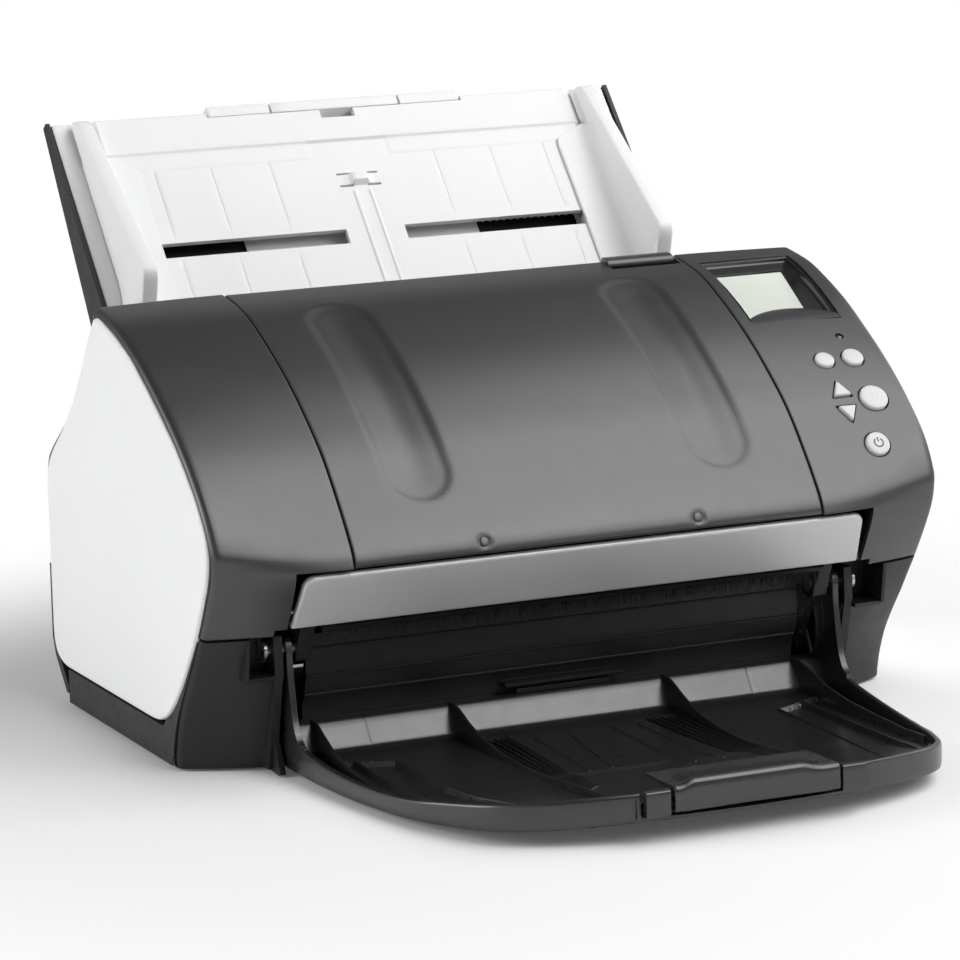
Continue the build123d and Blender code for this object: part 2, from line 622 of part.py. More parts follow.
def front_strip():
    """Strip below the cover, with its upper corners rounded."""
    (y1, z1), (y0, z0) = STRIP_TOP, STRIP_BOTTOM
    height = math.hypot(y1 - y0, z1 - z0)
    outline = Polygon((-116.4, -height / 2), (116.4, -height / 2), (114.6, height / 2),
                      (-114.6, height / 2), align=None)
    strip = extrude(outline, -2.6)
    strip = fillet(strip.edges().filter_by(Axis.Z).sort_by(Axis.Y)[-2:], 4.5)
    place = frame_at(0, (y0 + y1) / 2, (z0 + z1) / 2, (z0 - z1) / height, (y1 - y0) / height)
    return place * strip


FRONT_BAR = [(-83.2, 75.8), (-74.6, 60.0), (-72.0, 57.6), (-67.5, 60.0), (-79.6, 76.6)]
HINGE_ARM = [(-78.4, 66.0), (-74.0, 58.0), (-69.5, 47.0), (-67.8, 42.6), (-64.0, 41.2),
             (-60.0, 42.8), (-58.4, 47.0), (-60.4, 53.0), (-67.5, 60.5), (-73.0, 68.0)]
# cradles: station on the paper run, shaft centre, x each side, height
CRADLES = ((PICK_AT, BRAKE, 21.5, 14.0), (FEED_AT, FEED_PINCH, 59.5, 10.0),
           (EJECT_AT, EJECT_PINCH, 59.5, 10.0))


def inner_frame():
    """Upper paper guide with front bar, hinge arms, side cheeks and roller cradles."""
    frame = path_prism([(6, 1.0), (110, 1.0), (112, 3.0), (110, 4.0), (6, 4.0)], -93.6, 93.6)
    frame = frame + across([path(96, 2.0), path(112, 2.5), (-71.0, 60.0), (-83.0, 75.5),
                            (-80.0, 77.0), (-71.5, 66.0)], 93.6)
    frame = frame + across(FRONT_BAR, 110.0)
    arm = prism(HINGE_ARM, 104.0, 109.8)
    frame = frame + arm + mirrored(arm)
    frame = frame - rod(100, 112, PIVOT, PIN_R + RUN) - rod(-112, -100, PIVOT, PIN_R + RUN)
    # openings for the rollers and the scan glass
    frame = frame - path_box(4, 31, -2, 14, -20, 20)
    for side in SIDES:
        x = side * ROLLER_X
        for at in (FEED_AT, EJECT_AT):
            frame = frame - path_box(at - 9, at + 9, -2, 16, x - 14, x + 14)
    frame = frame - path_box(64.6, 79.4, -2, 8, -91.4, 91.4)
    cheek = path_prism([(8, 2.0), (100, 2.0), (92, 16), (40, 28), (12, 20)], 90.9, 92.9)
    frame = frame + cheek + mirrored(cheek)
    for at, centre, cradle_x, height in CRADLES:
        for side in SIDES:
            x = side * cradle_x
            cradle = path_prism([(at - 5, 2.0), (at + 5, 2.0), (at + 4, height),
                                 (at - 4, height)], x - 1.2, x + 1.2)
            cradle = cradle - rod(x - 3, x + 3, centre, PINCH_SHAFT_R + RUN)
            frame = frame + cradle
    return largest(frame)


def front_optical_unit():
    """Scanner block above the paper run, with a light slot."""
    unit = path_box(61, 84, 4.4, 26, -90.2, 90.2)
    unit = unit + path_prism([(65, 25), (80, 25), (78, 31), (67, 31)], -60, 60)
    return unit - path_box(68, 76, 3, 14, -88, 88)


def pinch_rollers(centre):
    rollers = rod(-61.4, 61.4, centre, PINCH_SHAFT_R)
    for side in SIDES:
        x = side * ROLLER_X
        rollers = rollers + rod(x - 9, x + 9, centre, PINCH_R)
    return rollers


LEVER = [(28.6, 163.2), (23.2, 162.2), (22.4, 160.8), (23.4, 159.2), (26.6, 156.2),
         (28.2, 150.0), (31.0, 150.2), (30.2, 156.0), (29.6, 162.2)]
BRUSH_HOLDER = [(-79.0, 56.2), (-74.8, 59.2), (-73.4, 57.0), (-77.4, 54.6)]
BRISTLES = [(-77.6, 55.4), (-74.4, 57.2), (-73.2, 50.2), (-75.0, 49.6)]

add("front_centre_cover", front_centre_cover())
# small caps in the lower edge of the cover
add("cover_screw_caps", *[place * (Pos(0, 0, -0.9) * Cylinder(1.9, 2.6))
                          for place in CAP_FRAMES])
add("front_strip", front_strip())
add("inner_frame", inner_frame())
add("front_scan_glass", path_box(65, 79, 1.0, 3.4, -90.3, 90.3))
add("front_optical_unit", front_optical_unit())
add("brake_roller", rod(-23.4, 23.4, BRAKE, PINCH_SHAFT_R) + rod(-17, 17, BRAKE, BRAKE_HUB_R))
add("brake_roller_tyre", tyre(BRAKE, -16, 16, BRAKE_TYRE_R, BRAKE_HUB_R))
add("feed_pinch_rollers", pinch_rollers(FEED_PINCH))
add("eject_pinch_rollers", pinch_rollers(EJECT_PINCH))
add("exit_brush", across(BRUSH_HOLDER, 103.0) + across(BRISTLES, 102.0))
add("release_lever", prism(LEVER, 63.8, 93.0) + rod(63.4, 93.2, LEVER_PIN, 2.4)
    + rod(62.1, 94.6, LEVER_PIN, LEVER_PIN_R))
# headed pins shared by the front unit and the output tray
add("hinge_pins", *[rod(side * 103.4, side * 121.0, PIVOT, PIN_R)
                    + rod(side * 121.0, side * 122.2, PIVOT, 4.6) for side in SIDES])

# ---------------------------------------------------------------- paper chute
# Chute coordinates: x, s up the chute, n out of its paper face.
PINION_R = 8.0              # pitch radius of the guide pinion
PINION_TEETH = 16
PINION_S = 3.8              # pinion centre up the chute
POST_R = 1.5                # post the pinion turns on
TOOTH_N = (-8.8, -5.8)      # n range of the pinion and the rack teeth
RACK_N = (-9.0, -5.6)       # n range of the rack bars
RACK_EDGE = PINION_R + 1.05  # from the pinion centre to the roots of the rack
CHUTE_FRAME = frame_at(0, *CHUTE_ORIGIN, -CHUTE_DIR[1], CHUTE_DIR[0])
GUIDE_WALL = [
    (-40.0, 0.4), (-31.5, 14.0), (-22.6, 26.6), (-20.5, 27.4), (-18.0, 27.2), (58.0, 9.4),
    (63.5, 7.4), (66.0, 4.4), (66.2, 1.7), (46.5, 1.7), (45.5, 0.4)]   # s, n


def chute_box(x0, x1, s0, s1, n0, n1):
    return CHUTE_FRAME * box(x0, x1, s0, s1, n0, n1)


def chute_prism(points, x0, x1):
    """Prism along X whose section is given as (s, n)."""
    dy, dz = CHUTE_DIR
    return prism([(CHUTE_ORIGIN[0] + s * dy - n * dz, CHUTE_ORIGIN[1] + s * dz + n * dy)
                  for s, n in points], x0, x1)


def chute_across(points, half):
    return chute_prism(points, -half, half)


def chute_slab(points, n0, n1):
    """Slab whose outline is given as (x, s)."""
    return CHUTE_FRAME * slab(points, n0, n1)


def shell_depth(s):
    """Depth of the tapering rear shell behind the paper face."""
    return 13.0 - 0.147 * s


def chute_rear_shell():
    """Hollow rear shell with a hump over the extensions and the pinion post."""
    shell = chute_across([(68.4, 0.6), (68.4, -shell_depth(68.4)), (-38.0, -shell_depth(-38.0)),
                          (-55.0, -9.0), (-55.0, -2.6), (-40, -2.6), (-40, 0.6)], 124.2)
    shell = shell - chute_across([(67.0, -2.4), (67.0, -2.6), (-36.8, 1.8 - shell_depth(-38.0)),
                                  (-53.2, -8.0), (-53.2, -2.5)], 122.4)
    shell = shell - chute_box(-122.4, 122.4, -60, 70, -2.5, 2)
    shell = shell + chute_across([(69.0, -2.5), (69.0, -8.6), (20.0, -12.0), (20.0, -2.5)], 59.0)
    shell = shell - chute_across([(75.0, -2.5), (75.0, -7.0), (15.0, -7.0), (15.0, -2.5)], 57.0)
    # room for the racks
    shell = shell - chute_across([(15.0, -2.5), (15.0, -10.2), (-34.0, -16.8), (-34.0, -2.5)],
                                 121.0)
    post = CHUTE_FRAME * (Pos(0, PINION_S, -8.1) * Cylinder(POST_R, 5.8) +
                          Pos(0, PINION_S, -10.1) * Cylinder(3.2, 1.6))
    return largest(shell + post)


def chute_panel():
    """Paper face with the guide slots."""
    panel = chute_box(-122.0, 122.0, -38, 68.0, -2.2, 0.0)
    panel = panel + chute_box(-108.5, 108.5, -60, -37, -2.2, 0.0)
    panel = panel + chute_across([(48.0, -0.2), (50.5, 1.1), (68.0, 1.1), (68.0, -0.2)], 106.0)
    panel = panel - chute_box(-56.2, 56.2, 65.3, 70, -3, 3)
    for side in SIDES:
        panel = panel - chute_box(side * 12.6, side * 98.5, 0.3, 7.3, -4, 3)
    # finger recess in the middle of the top edge
    panel = panel - chute_across([(61.5, -4), (61.5, 3), (70, 3), (70, -4)], 7.5)
    # small moulded hook on the centre line, with four slits beside it
    panel = panel + chute_across([(27.8, -0.2), (29.0, 1.2), (31.0, 1.9), (33.2, 1.2),
                                  (34.4, -0.2)], 4.0)
    for x0, x1 in ((-9.2, -3.0), (3.0, 9.2)):
        for s in (33.6, 27.7):
            panel = panel - chute_box(x0, x1, s, s + 0.9, -3, 3)
    return largest(panel)


def chute_extension_1():
    """Outer sliding plate, with a thick end piece each side."""
    plate = chute_box(-54.6, 54.6, 18.0, 66.0, -4.4, -2.75)
    for side in SIDES:
        plate = plate + chute_box(side * 28.8, side * 55.4, 65.6, 71.0, -6.6, 1.4)
    return largest(plate - chute_box(-28.3, 28.3, 60.0, 72.0, -10, 3))


def chute_extension_2():
    """Inner sliding plate, with a finger recess in its thick end."""
    plate = chute_box(-27.6, 27.6, 19.0, 71.0, -6.6, -4.7) \
        + chute_box(-27.9, 27.9, 65.6, 71.0, -6.6, 1.4)
    return largest(plate - chute_across([(60.0, -1.2), (60.0, 3), (67.8, 3), (67.8, -1.2)], 9.5))


def rack_teeth(x0, x1, toward):
    """(x, s) outlines of straight-sided teeth; toward is the s direction they point in."""
    pitch = math.pi * 2 * PINION_R / PINION_TEETH
    phase = pitch / 2       # the teeth sit in the gaps of the pinion
    root, tip = 0.95, 0.28  # half widths
    teeth = []
    for k in range(math.ceil((x0 - phase) / pitch), math.floor((x1 - phase) / pitch) + 1):
        x = phase + k * pitch
        if x - 1.3 < x0 or x + 1.3 > x1:
            continue
        outline = [(x - root, -0.2), (x + root, -0.2), (x + tip, 1.75), (x - tip, 1.75)]
        teeth.append([(px, PINION_S + toward * (height - RACK_EDGE)) for px, height in outline])
    return teeth


def side_guide(side):
    """Paper guide at its widest. The left rack runs below the pinion, the right one above."""
    guide = chute_prism(GUIDE_WALL, side * 108.0, side * 114.4)
    guide = guide + chute_box(side * 92.2, side * 110, -38.0, 45.0, 0.4, 1.6)
    guide = guide + chute_prism([(-38, 1.5), (45, 1.5), (45, 3.0), (-38, 3.0)],
                                side * 105.6, side * 108.2)
    guide = guide + chute_box(side * 93.0, side * 97.4, 1.0, 6.6, -6.0, 1.0)
    edge = PINION_S + side * RACK_EDGE
    low, high = sorted((edge, edge + side * 4.0))
    x0, x1 = sorted((side * 97.4, side * -13.0))
    bar = chute_box(x0, x1, low, high, *RACK_N)
    link = chute_box(side * 93.0, side * 97.4, min(low, 1.0), max(high, 6.6), *RACK_N)
    guide = guide + bar + link
    for tooth in rack_teeth(x0 + 0.2, x1 - 0.2, -side):
        guide = guide + chute_slab(tooth, *TOOTH_N)
    return largest(guide)


def guide_pinion():
    # one tooth: angle from its middle, radius
    tooth = ((-0.082, PINION_R - 1.15), (-0.035, PINION_R + 0.55),
             (0.035, PINION_R + 0.55), (0.082, PINION_R - 1.15))
    points = []
    for k in range(PINION_TEETH):
        middle = math.pi / 2 + 2 * math.pi * k / PINION_TEETH   # first tooth points along +s
        for turn, radius in tooth:
            points.append((radius * math.cos(middle + turn),
                           PINION_S + radius * math.sin(middle + turn)))
    pinion = chute_slab(points, *TOOTH_N)
    return pinion - CHUTE_FRAME * (Pos(0, PINION_S, -7) * Cylinder(POST_R + RUN, 8))


add("chute_panel", chute_panel())
add("chute_extension_1", chute_extension_1())
add("chute_extension_2", chute_extension_2())
add("left_side_guide", side_guide(-1))
add("right_side_guide", side_guide(1))
add("guide_pinion", guide_pinion())
add("chute_rear_shell", chute_rear_shell())

# ---------------------------------------------------------------- output tray
# right half of the rim, rear to front: x, y, z
RIM = [(114.2, -53.6, 17.4), (114.2, -61.0, 16.6), (113.2, -86.4, 11.6), (110.6, -115.1, 9.2),
       (105.6, -145.9, 9.4), (98.8, -168.6, 11.8), (85.0, -195.2, 15.2), (60.0, -208.8, 17.2),
       (32.7, -215.2, 18.2), (0.0, -217.0, 19.6)]
UNDERSIDE = [(-53.6, 14.6), (-60.0, 11.6), (-70.0, 5.4), (-80.0, 3.0), (-95.0, 2.1),
             (-120, 1.6), (-150, 2.1), (-180, 4.0), (-205, 6.6), (-217.5, 8.0)]
TRAY_FLOOR = [(-53.6, 16.4), (-60.0, 14.2), (-67.0, 10.6), (-73.0, 7.6), (-81.0, 5.6),
              (-95.0, 4.6), (-120, 4.0), (-150, 4.6), (-180, 6.4), (-205, 9.0), (-220, 10.8)]
RIB_TOP = [(-57, 16.3), (-70, 15.0), (-76, 12.6), (-82, 10.4), (-95, 8.5), (-115, 7.4),
           (-149, 7.9), (-177, 11.0), (-200, 13.4)]
RIB_FOOT = [(-200, 8.0), (-170, 5.0), (-120, 3.2), (-84, 4.4), (-70, 8.0), (-60, 12.6),
            (-57, 14.0)]
OUTER_RIB = [(-62, 16.5), (-80, 11.4), (-100, 9.6), (-130, 8.6), (-160, 10.4), (-160, 4.6),
             (-120, 3.2), (-84, 4.4), (-70, 8), (-62, 12.2)]
FINE_RIBS = ((51, -92, -196), (55.5, -92, -194), (60, -93, -191), (64.5, -94, -188),
             (69, -95, -184))   # x each side, rear y, front y
TRAY_ARM = [(-69.6, 47.0), (-68.0, 51.0), (-64.0, 52.6), (-60.0, 51.0), (-58.4, 47.0),
            (-59.0, 40.0), (-61.0, 30.0), (-59.0, 15.0), (-76.0, 9.0), (-79.0, 13.0),
            (-74.4, 20.0), (-71.6, 32.0)]
SLIDE_SLOPE = math.radians(4.4)
BAY_HALF = 43.6             # half width of the pocket for the extensions
FLIP_PIN = (-215.4, 12.5)   # y, z of the stopper's pin
FLIP_PIN_R = 1.1


def on_slide(y, lift):
    """(y, z) of a point lifted above the sloping underside of the first extension."""
    return (y, 9.4 + lift - (y + 217.0) * math.tan(SLIDE_SLOPE))


def tray_outline():
    """(x, y) outline of the tray."""
    right = [RIM[0][:2]] + smooth([(x, y) for x, y, z in RIM[1:]], 5)
    return right + [(-x, y) for x, y in reversed(right[:-1])]


def add_tray_ribs(tray):
    for side in SIDES:
        x = side * 43.8
        tray = tray + prism(smooth(RIB_TOP, 3) + RIB_FOOT, x - 0.9, x + 0.9)
        x = side * 100.0
        tray = tray + prism(OUTER_RIB, x - 0.9, x + 0.9)
        for rib_x, rear, front in FINE_RIBS:
            section = [(rear, 6.2), (rear - 8, 7.0), (-120, 6.0), (-150, 6.6), (-172, 8.4),
                       (front, 10.2), (front, 7.2), (-150, 3.6), (-120, 3.0), (rear, 3.8)]
            x = side * rib_x
            tray = tray + prism(section, x - 0.45, x + 0.45)
    return tray


def output_tray():
    outline = tray_outline()
    block = slab(outline, -1, 24)
    hollow = offset(face_xy(outline, -2), amount=-2.4, kind=Kind.INTERSECTION).faces()[0]
    hollow = Solid.extrude(hollow, Vector(0, 0, 30))
    side_view = smooth([(y, z) for x, y, z in RIM], 3) + [(-217.6, 19.6), (-217.6, 8.0)] \
        + list(reversed(smooth(UNDERSIDE, 3)))
    tray = block & across(side_view, 130)
    tray = tray - (hollow & across(smooth(TRAY_FLOOR, 3) + [(-220, 40), (-50, 40)], 130))
    # the rear edge is open across the middle
    tray = tray - across([(-50, 16.5), (-60.4, 14.6), (-60.4, 30), (-50, 30)], 111.0)
    tray = add_tray_ribs(tray)
    # raised middle bay over the sliding extensions, open at the front
    bay = across([on_slide(-216.8, -1.9), on_slide(-216.8, 5.2), on_slide(-146, 5.2),
                  (-132, 4.2), (-132, 2.4), on_slide(-146, -1.9)], 45.0)
    tray = tray + (bay & block)
    tray = tray - across([on_slide(-225, -0.25), on_slide(-225, 3.6), on_slide(-148.5, 3.6),
                          on_slide(-148.5, -0.25)], BAY_HALF)
    tray = tray - box(-BAY_HALF, BAY_HALF, -225, -205.0, on_slide(-205, 5.4)[1], 40) \
        - across([on_slide(-225, -0.2), (-225, 40), (-213.6, 40), on_slide(-213.6, -0.2)],
                 BAY_HALF)
    tray = tray - across([(-225, 20.0), (-225, 40), (-190.0, 40), on_slide(-190, 3.5),
                          on_slide(-214, 3.5)], 33.2)
    # arms up to the hinge line
    arm = prism(TRAY_ARM, 111.7, 114.2)
    tray = tray + arm + mirrored(arm)
    tray = tray - rod(108, 118, PIVOT, PIN_R + RUN) - rod(-118, -108, PIVOT, PIN_R + RUN)
    return largest(tray)


def tray_extension_1():
    """Wide sliding plate with an upright lip at each front corner."""
    plate = across([on_slide(-214.0, 0), on_slide(-214.0, 1.2), on_slide(-150, 1.2),
                    on_slide(-150, 0)], 43.2)
    plate = plate - box(-33.0, 33.0, -220, -212.2, 0, 20)
    lip = [on_slide(-217, 0), (-217.0, 18.2), (-215.6, 18.8), (-214.0, 18.8), (-214.0, 12.5),
           on_slide(-209, 1.1), on_slide(-209, 0)]
    for side in SIDES:
        plate = plate + prism(lip, side * 33.4, side * 43.0)
    return largest(plate)


def tray_extension_2():
    """Narrow sliding plate with two lugs that carry the stopper's pin."""
    plate = across([on_slide(-214.6, 1.5), on_slide(-214.6, 2.7), on_slide(-152, 2.7),
                    on_slide(-152, 1.5)], 31.8)
    plate = plate - box(-29.4, 29.4, -220, -212.2, 0, 20)
    lug = [(-217.3, 11.6), (-217.4, 12.9), (-216.6, 14.2), (-215.0, 14.5), (-213.6, 13.8),
           on_slide(-211.5, 2.65), on_slide(-208, 2.6), on_slide(-208, 1.6),
           on_slide(-214.6, 1.5), (-216.4, 10.7)]
    for side in SIDES:
        plate = plate + prism(lug, side * 29.5, side * 31.7)
    return largest(plate + rod(-31.0, 31.0, FLIP_PIN, FLIP_PIN_R))


def paper_stopper():
    """Flip-up stopper: front cap with a plate lying back over the extension."""
    stopper = across([(-217.7, 15.0), (-217.8, 18.6), (-216.0, 20.2), (-194.0, 19.6),
                      (-194.0, 18.0), (-213.2, 18.2), (-213.9, 17.4), (-213.9, 15.0)], 32.2)
    stopper = stopper + across([(-217.7, 15.1), (-217.6, 11.4), (-216.6, 10.3), (-214.2, 10.3),
                                (-213.1, 11.4), (-213.1, 13.8), (-213.9, 15.1)], 29.2)
    return largest(stopper - rod(-33, 33, FLIP_PIN, FLIP_PIN_R + RUN))


add("output_tray", output_tray())
add("tray_extension_1", tray_extension_1())
add("tray_extension_2", tray_extension_2())
add("paper_stopper", paper_stopper())

# ---------------------------------------------------------------- one file per piece
os.makedirs("parts", exist_ok=True)
for name, solids in PARTS.items():
    placed = [solid.moved(Location((0, FOOTPRINT_SHIFT, 0))) for solid in solids]
    if len(placed) == 1:
        shape = placed[0]
    else:
        shape = Compound(children=[Solid(solid.wrapped) for solid in placed])
    export_step(shape, os.path.join("parts", name + ".step"))
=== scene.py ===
"""Sheet-fed document scanner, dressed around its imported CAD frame.

Shapes are drawn in millimetres and turned into metres when a mesh is made. x runs from left
to right as seen from the front, y from front (negative) to back and z up from the table.
The paper chute leans back at the rear and the output tray lies flat in front.
"""
import json
import math
import random

import bpy
import bmesh
import numpy as np
from mathutils import Matrix, Vector

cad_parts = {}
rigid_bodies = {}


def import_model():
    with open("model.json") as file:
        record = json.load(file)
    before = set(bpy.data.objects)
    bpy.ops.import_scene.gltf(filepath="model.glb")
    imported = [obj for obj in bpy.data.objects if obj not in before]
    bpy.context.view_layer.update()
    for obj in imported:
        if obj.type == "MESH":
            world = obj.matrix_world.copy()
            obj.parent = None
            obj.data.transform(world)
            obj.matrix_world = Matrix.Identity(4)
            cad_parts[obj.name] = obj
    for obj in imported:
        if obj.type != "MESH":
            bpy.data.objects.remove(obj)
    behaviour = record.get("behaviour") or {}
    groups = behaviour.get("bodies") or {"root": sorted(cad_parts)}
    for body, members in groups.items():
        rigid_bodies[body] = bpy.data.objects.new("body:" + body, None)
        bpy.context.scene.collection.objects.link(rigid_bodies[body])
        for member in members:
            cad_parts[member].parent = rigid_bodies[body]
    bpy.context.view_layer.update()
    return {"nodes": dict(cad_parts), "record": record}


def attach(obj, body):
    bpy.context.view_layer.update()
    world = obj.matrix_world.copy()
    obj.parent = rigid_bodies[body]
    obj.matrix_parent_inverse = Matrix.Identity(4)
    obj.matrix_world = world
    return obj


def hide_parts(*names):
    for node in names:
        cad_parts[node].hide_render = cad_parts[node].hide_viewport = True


random.seed(7)
rng = np.random.default_rng(7)
for old in list(bpy.data.objects):
    bpy.data.objects.remove(old)
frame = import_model()

MM = 0.001
Y_SHIFT = 32.8         # y = 0 is midway through the casing, this far behind the frame's origin

# ------------------------------------------------------------------ casing dimensions
SEAM = 95.5            # x of the joint between the centre and side covers
BLEND_WIDTH = 53.0     # from the seam to where the side outlines fully apply
CENTRE_EDGE = 95.25    # half width of the centre cover
SIDE_INNER = 95.9      # x range of a side cover
SIDE_OUTER = 148.15
CORNER_INNER = 115.4   # inner x of a lower front corner
SIDE_FINE = (0.12, 0.3, 0.6, 1.0, 1.6, 2.4)   # grid steps close to the ends of the side parts

# Cover outlines (y, z) from the rear top edge over the nose: at the centre and at the sides
TOP_CENTRE = [
    (29, 163.5), (13, 160.5), (0.5, 156.6), (-17, 148.3), (-33.5, 139), (-49.5, 128),
    (-64.5, 115.8), (-77.5, 101.5), (-88.0, 88.2), (-91.6, 81.5), (-91.8, 76.5), (-87, 66),
    (-81, 54.4)]
TOP_SIDE = [
    (28.4, 162.6), (12.4, 159.9), (-0.3, 155.7), (-17.3, 148.3), (-33.0, 139.3), (-48.6, 129.4),
    (-63.8, 117.8), (-78.0, 103.9), (-85.7, 91.0), (-86.3, 84.2), (-84.2, 76.5), (-78.9, 66.6),
    (-71.3, 54.4)]
# Lower front outlines (y, z), downwards
LOW_CENTRE = [(-80.6, 53.9), (-76.6, 46), (-72.4, 38), (-68.2, 30), (-64.6, 21), (-61.5, 11),
              (-59.6, 1.0)]
LOW_SIDE = [(-71.0, 53.9), (-65.4, 46), (-59.8, 38), (-53.8, 30), (-47.8, 21), (-43.5, 11),
            (-41.0, 1.0)]
# Rear top edge and rear face of the side covers (y, z), downwards
REAR_EDGE = [(29.4, 163.4), (30.4, 162.8), (31.0, 161.4), (31.2, 159.4), (30.9, 157.6)]
REAR_CURVE = [(30.9, 157.6), (41.0, 142.2), (54.5, 125.6), (70.0, 112.4), (85.2, 101.0),
              (89.6, 95.6), (91.0, 89.1)]
REAR_DROP = [(91.0, 80), (91.0, 70), (91.0, 60), (91.0, 54.6)]
# Corners (y, z) of the white side panels, before growing and rounding
SIDE_PANEL = [
    (25.5, 161.0), (7.7, 156.7), (-10.7, 149.8), (-26.5, 140.9), (-40.5, 132.4), (-54, 123.5),
    (-64, 115.3), (-73.7, 106.5), (-81.6, 96.2), (-84.6, 87.6), (-82.7, 78.1), (-77, 67.3),
    (-71.4, 57.4), (-66.5, 50.5), (-60.5, 42.5), (-51.7, 31.5), (-43.1, 23.1), (-36.0, 18.2),
    (-29.0, 15.9), (-22.3, 15.3), (75, 15.3), (83.5, 18.5), (87.2, 25.4), (87.6, 91.0),
    (82.4, 99.6), (67.9, 111.0), (53.0, 125.0), (29.5, 157.0)]

CAP_X = 43.7           # screw caps of the centre cover, left and right
CAP_Y = -90.7

CHUTE_ORIGIN = (100.0, 168.0)     # (y, z)
CHUTE_SLOPE = (math.cos(math.radians(48.4)), math.sin(math.radians(48.4)))

# name, centre x, y, z, normal y, z, radius
BUTTONS = [
    ("menu_button", 121.0, -47.6, 129.5, -0.578, 0.816, 3.9),
    ("stop_button", 133.2, -47.9, 129.6, -0.573, 0.820, 4.3),
    ("up_button", 120.6, -60.1, 120.0, -0.642, 0.766, 3.6),
    ("down_button", 120.2, -68.4, 112.4, -0.711, 0.703, 3.6),
    ("scan_button", 132.9, -64.6, 116.4, -0.668, 0.744, 5.7),
    ("power_button", 126.6, -78.6, 101.3, -0.778, 0.628, 4.9),
]
ARROWS = ("up_button", "down_button")


# ------------------------------------------------------------------ node helpers
class Graph:
    """Shorthand for building a node tree: inputs given as sockets are linked, others set."""

    def __init__(self, tree):
        self.tree = tree

    def set(self, node, inputs):
        for key, value in inputs.items():
            if isinstance(value, bpy.types.NodeSocket):
                self.tree.links.new(value, node.inputs[key])
            else:
                node.inputs[key].default_value = value

    def add(self, kind, inputs={}, **settings):
        node = self.tree.nodes.new("ShaderNode" + kind)
        for key, value in settings.items():
            setattr(node, key, value)
        self.set(node, inputs)
        return node

    def map_range(self, value, from_min, from_max, to_min, to_max=1.0, **settings):
        node = self.add("MapRange", {
            "Value": value, "From Min": from_min, "From Max": from_max,
            "To Min": to_min, "To Max": to_max}, **settings)
        return node.outputs[0]

    def math(self, operation, *values):
        return self.add("Math", dict(enumerate(values)), operation=operation).outputs[0]

    def mix_colour(self, factor, first, second):
        node = self.add("Mix", data_type="RGBA")
        self.set(node, {"Factor": factor, 6: first, 7: second})
        return node.outputs[2]


class Surface(Graph):
    """A material with a Principled shader and object coordinates."""

    def __init__(self, name):
        self.material = bpy.data.materials.new(name)
        self.material.use_nodes = True
        super().__init__(self.material.node_tree)
        self.tree.nodes.clear()
        self.output = self.add("OutputMaterial")
        self.principled = self.add("BsdfPrincipled")
        self.set(self.output, {0: self.principled.outputs[0]})
        self.coords = self.add("TexCoord").outputs["Object"]

    def shade(self, inputs):
        self.set(self.principled, inputs)

    def noise(self, scale, detail):
        return self.add("TexNoise", {"Scale": scale, "Detail": detail, "Roughness": 0.55,
                                     "Vector": self.coords}).outputs["Fac"]

    def ramp(self, value, first, second, low=0.3, high=0.7):
        node = self.add("ValToRGB", {0: value})
        stops = node.color_ramp.elements
        stops[0].position = low
        stops[1].position = high
        stops[0].color = rgba(first)
        stops[1].color = rgba(second)
        return node.outputs[0]

    def spread(self, value, low, high):
        """The middle of a noise stretched over low to high."""
        return self.map_range(value, 0.3, 0.7, low, high)

    def bump(self, height, strength, distance):
        return self.add("Bump", {"Strength": strength, "Distance": distance,
                                 "Height": height}).outputs[0]

    def bevel(self, radius, **inputs):
        return self.add("Bevel", {"Radius": radius, **inputs}, samples=4).outputs[0]


def rgba(colour):
    return (*colour, 1)


def scaled(colour, factor):
    return tuple(channel * factor for channel in colour)


# ------------------------------------------------------------------ materials
def plastic(name, colour, roughness, grain, grain_height, mottle, roughness_swing, specular,
            edge_wear_and_highlight, edge, coat=0.0, subsurface=0.0, metallic=0.0, dust=0.0):
    """Moulded plastic: fine grain, slow mottling, lighter edges that are partly rubbed wear and
    partly painted highlight, and soft corners.
    """
    surface = Surface(name)
    slow = surface.noise(scale=9.0, detail=5.0)
    patches = surface.noise(scale=140.0, detail=3.0)
    base = surface.ramp(slow, scaled(colour, 1 - mottle), scaled(colour, 1 + mottle))

    # lighter edges, partly rubbed wear and partly painted highlight: where the rounded-corner
    # normal leaves the true one
    geometry = surface.add("NewGeometry")
    agreement = surface.add("VectorMath", {0: surface.bevel(edge * 2.4),
                                           1: geometry.outputs["Normal"]},
                            operation="DOT_PRODUCT").outputs["Value"]
    rubbed_and_highlit = surface.map_range(agreement, from_min=0.99, from_max=0.80, to_min=0.0, to_max=edge_wear_and_highlight)
    base = surface.mix_colour(surface.math("MULTIPLY", rubbed_and_highlit, patches), base,
                              rgba(min(1, channel * 1.7 + 0.03) for channel in colour))
    if dust > 0:
        facing = surface.add("SeparateXYZ", {0: geometry.outputs["Normal"]}).outputs["Z"]
        settled = surface.map_range(facing, from_min=0.4, from_max=1.0, to_min=0.0, to_max=dust)
        base = surface.mix_colour(surface.math("MULTIPLY", settled, slow), base,
                                  (0.55, 0.54, 0.52, 1))

    cells = surface.add("TexVoronoi", {"Scale": grain, "Vector": surface.coords})
    fine = surface.noise(scale=grain * 0.55, detail=2.0)
    height = surface.math("ADD", cells.outputs["Distance"], fine)
    bump = surface.bump(height, strength=grain_height, distance=0.0002)
    surface.shade({
        "Base Color": base,
        "Roughness": surface.spread(patches, roughness - roughness_swing,
                                    roughness + roughness_swing),
        "Metallic": metallic,
        "Specular IOR Level": specular,
        "Coat Weight": coat,
        "Coat Roughness": 0.12,
        "Normal": surface.bevel(edge, Normal=bump),
    })
    if subsurface > 0:
        surface.shade({"Subsurface Weight": subsurface,
                       "Subsurface Radius": (0.002, 0.002, 0.002)})
    return surface.material


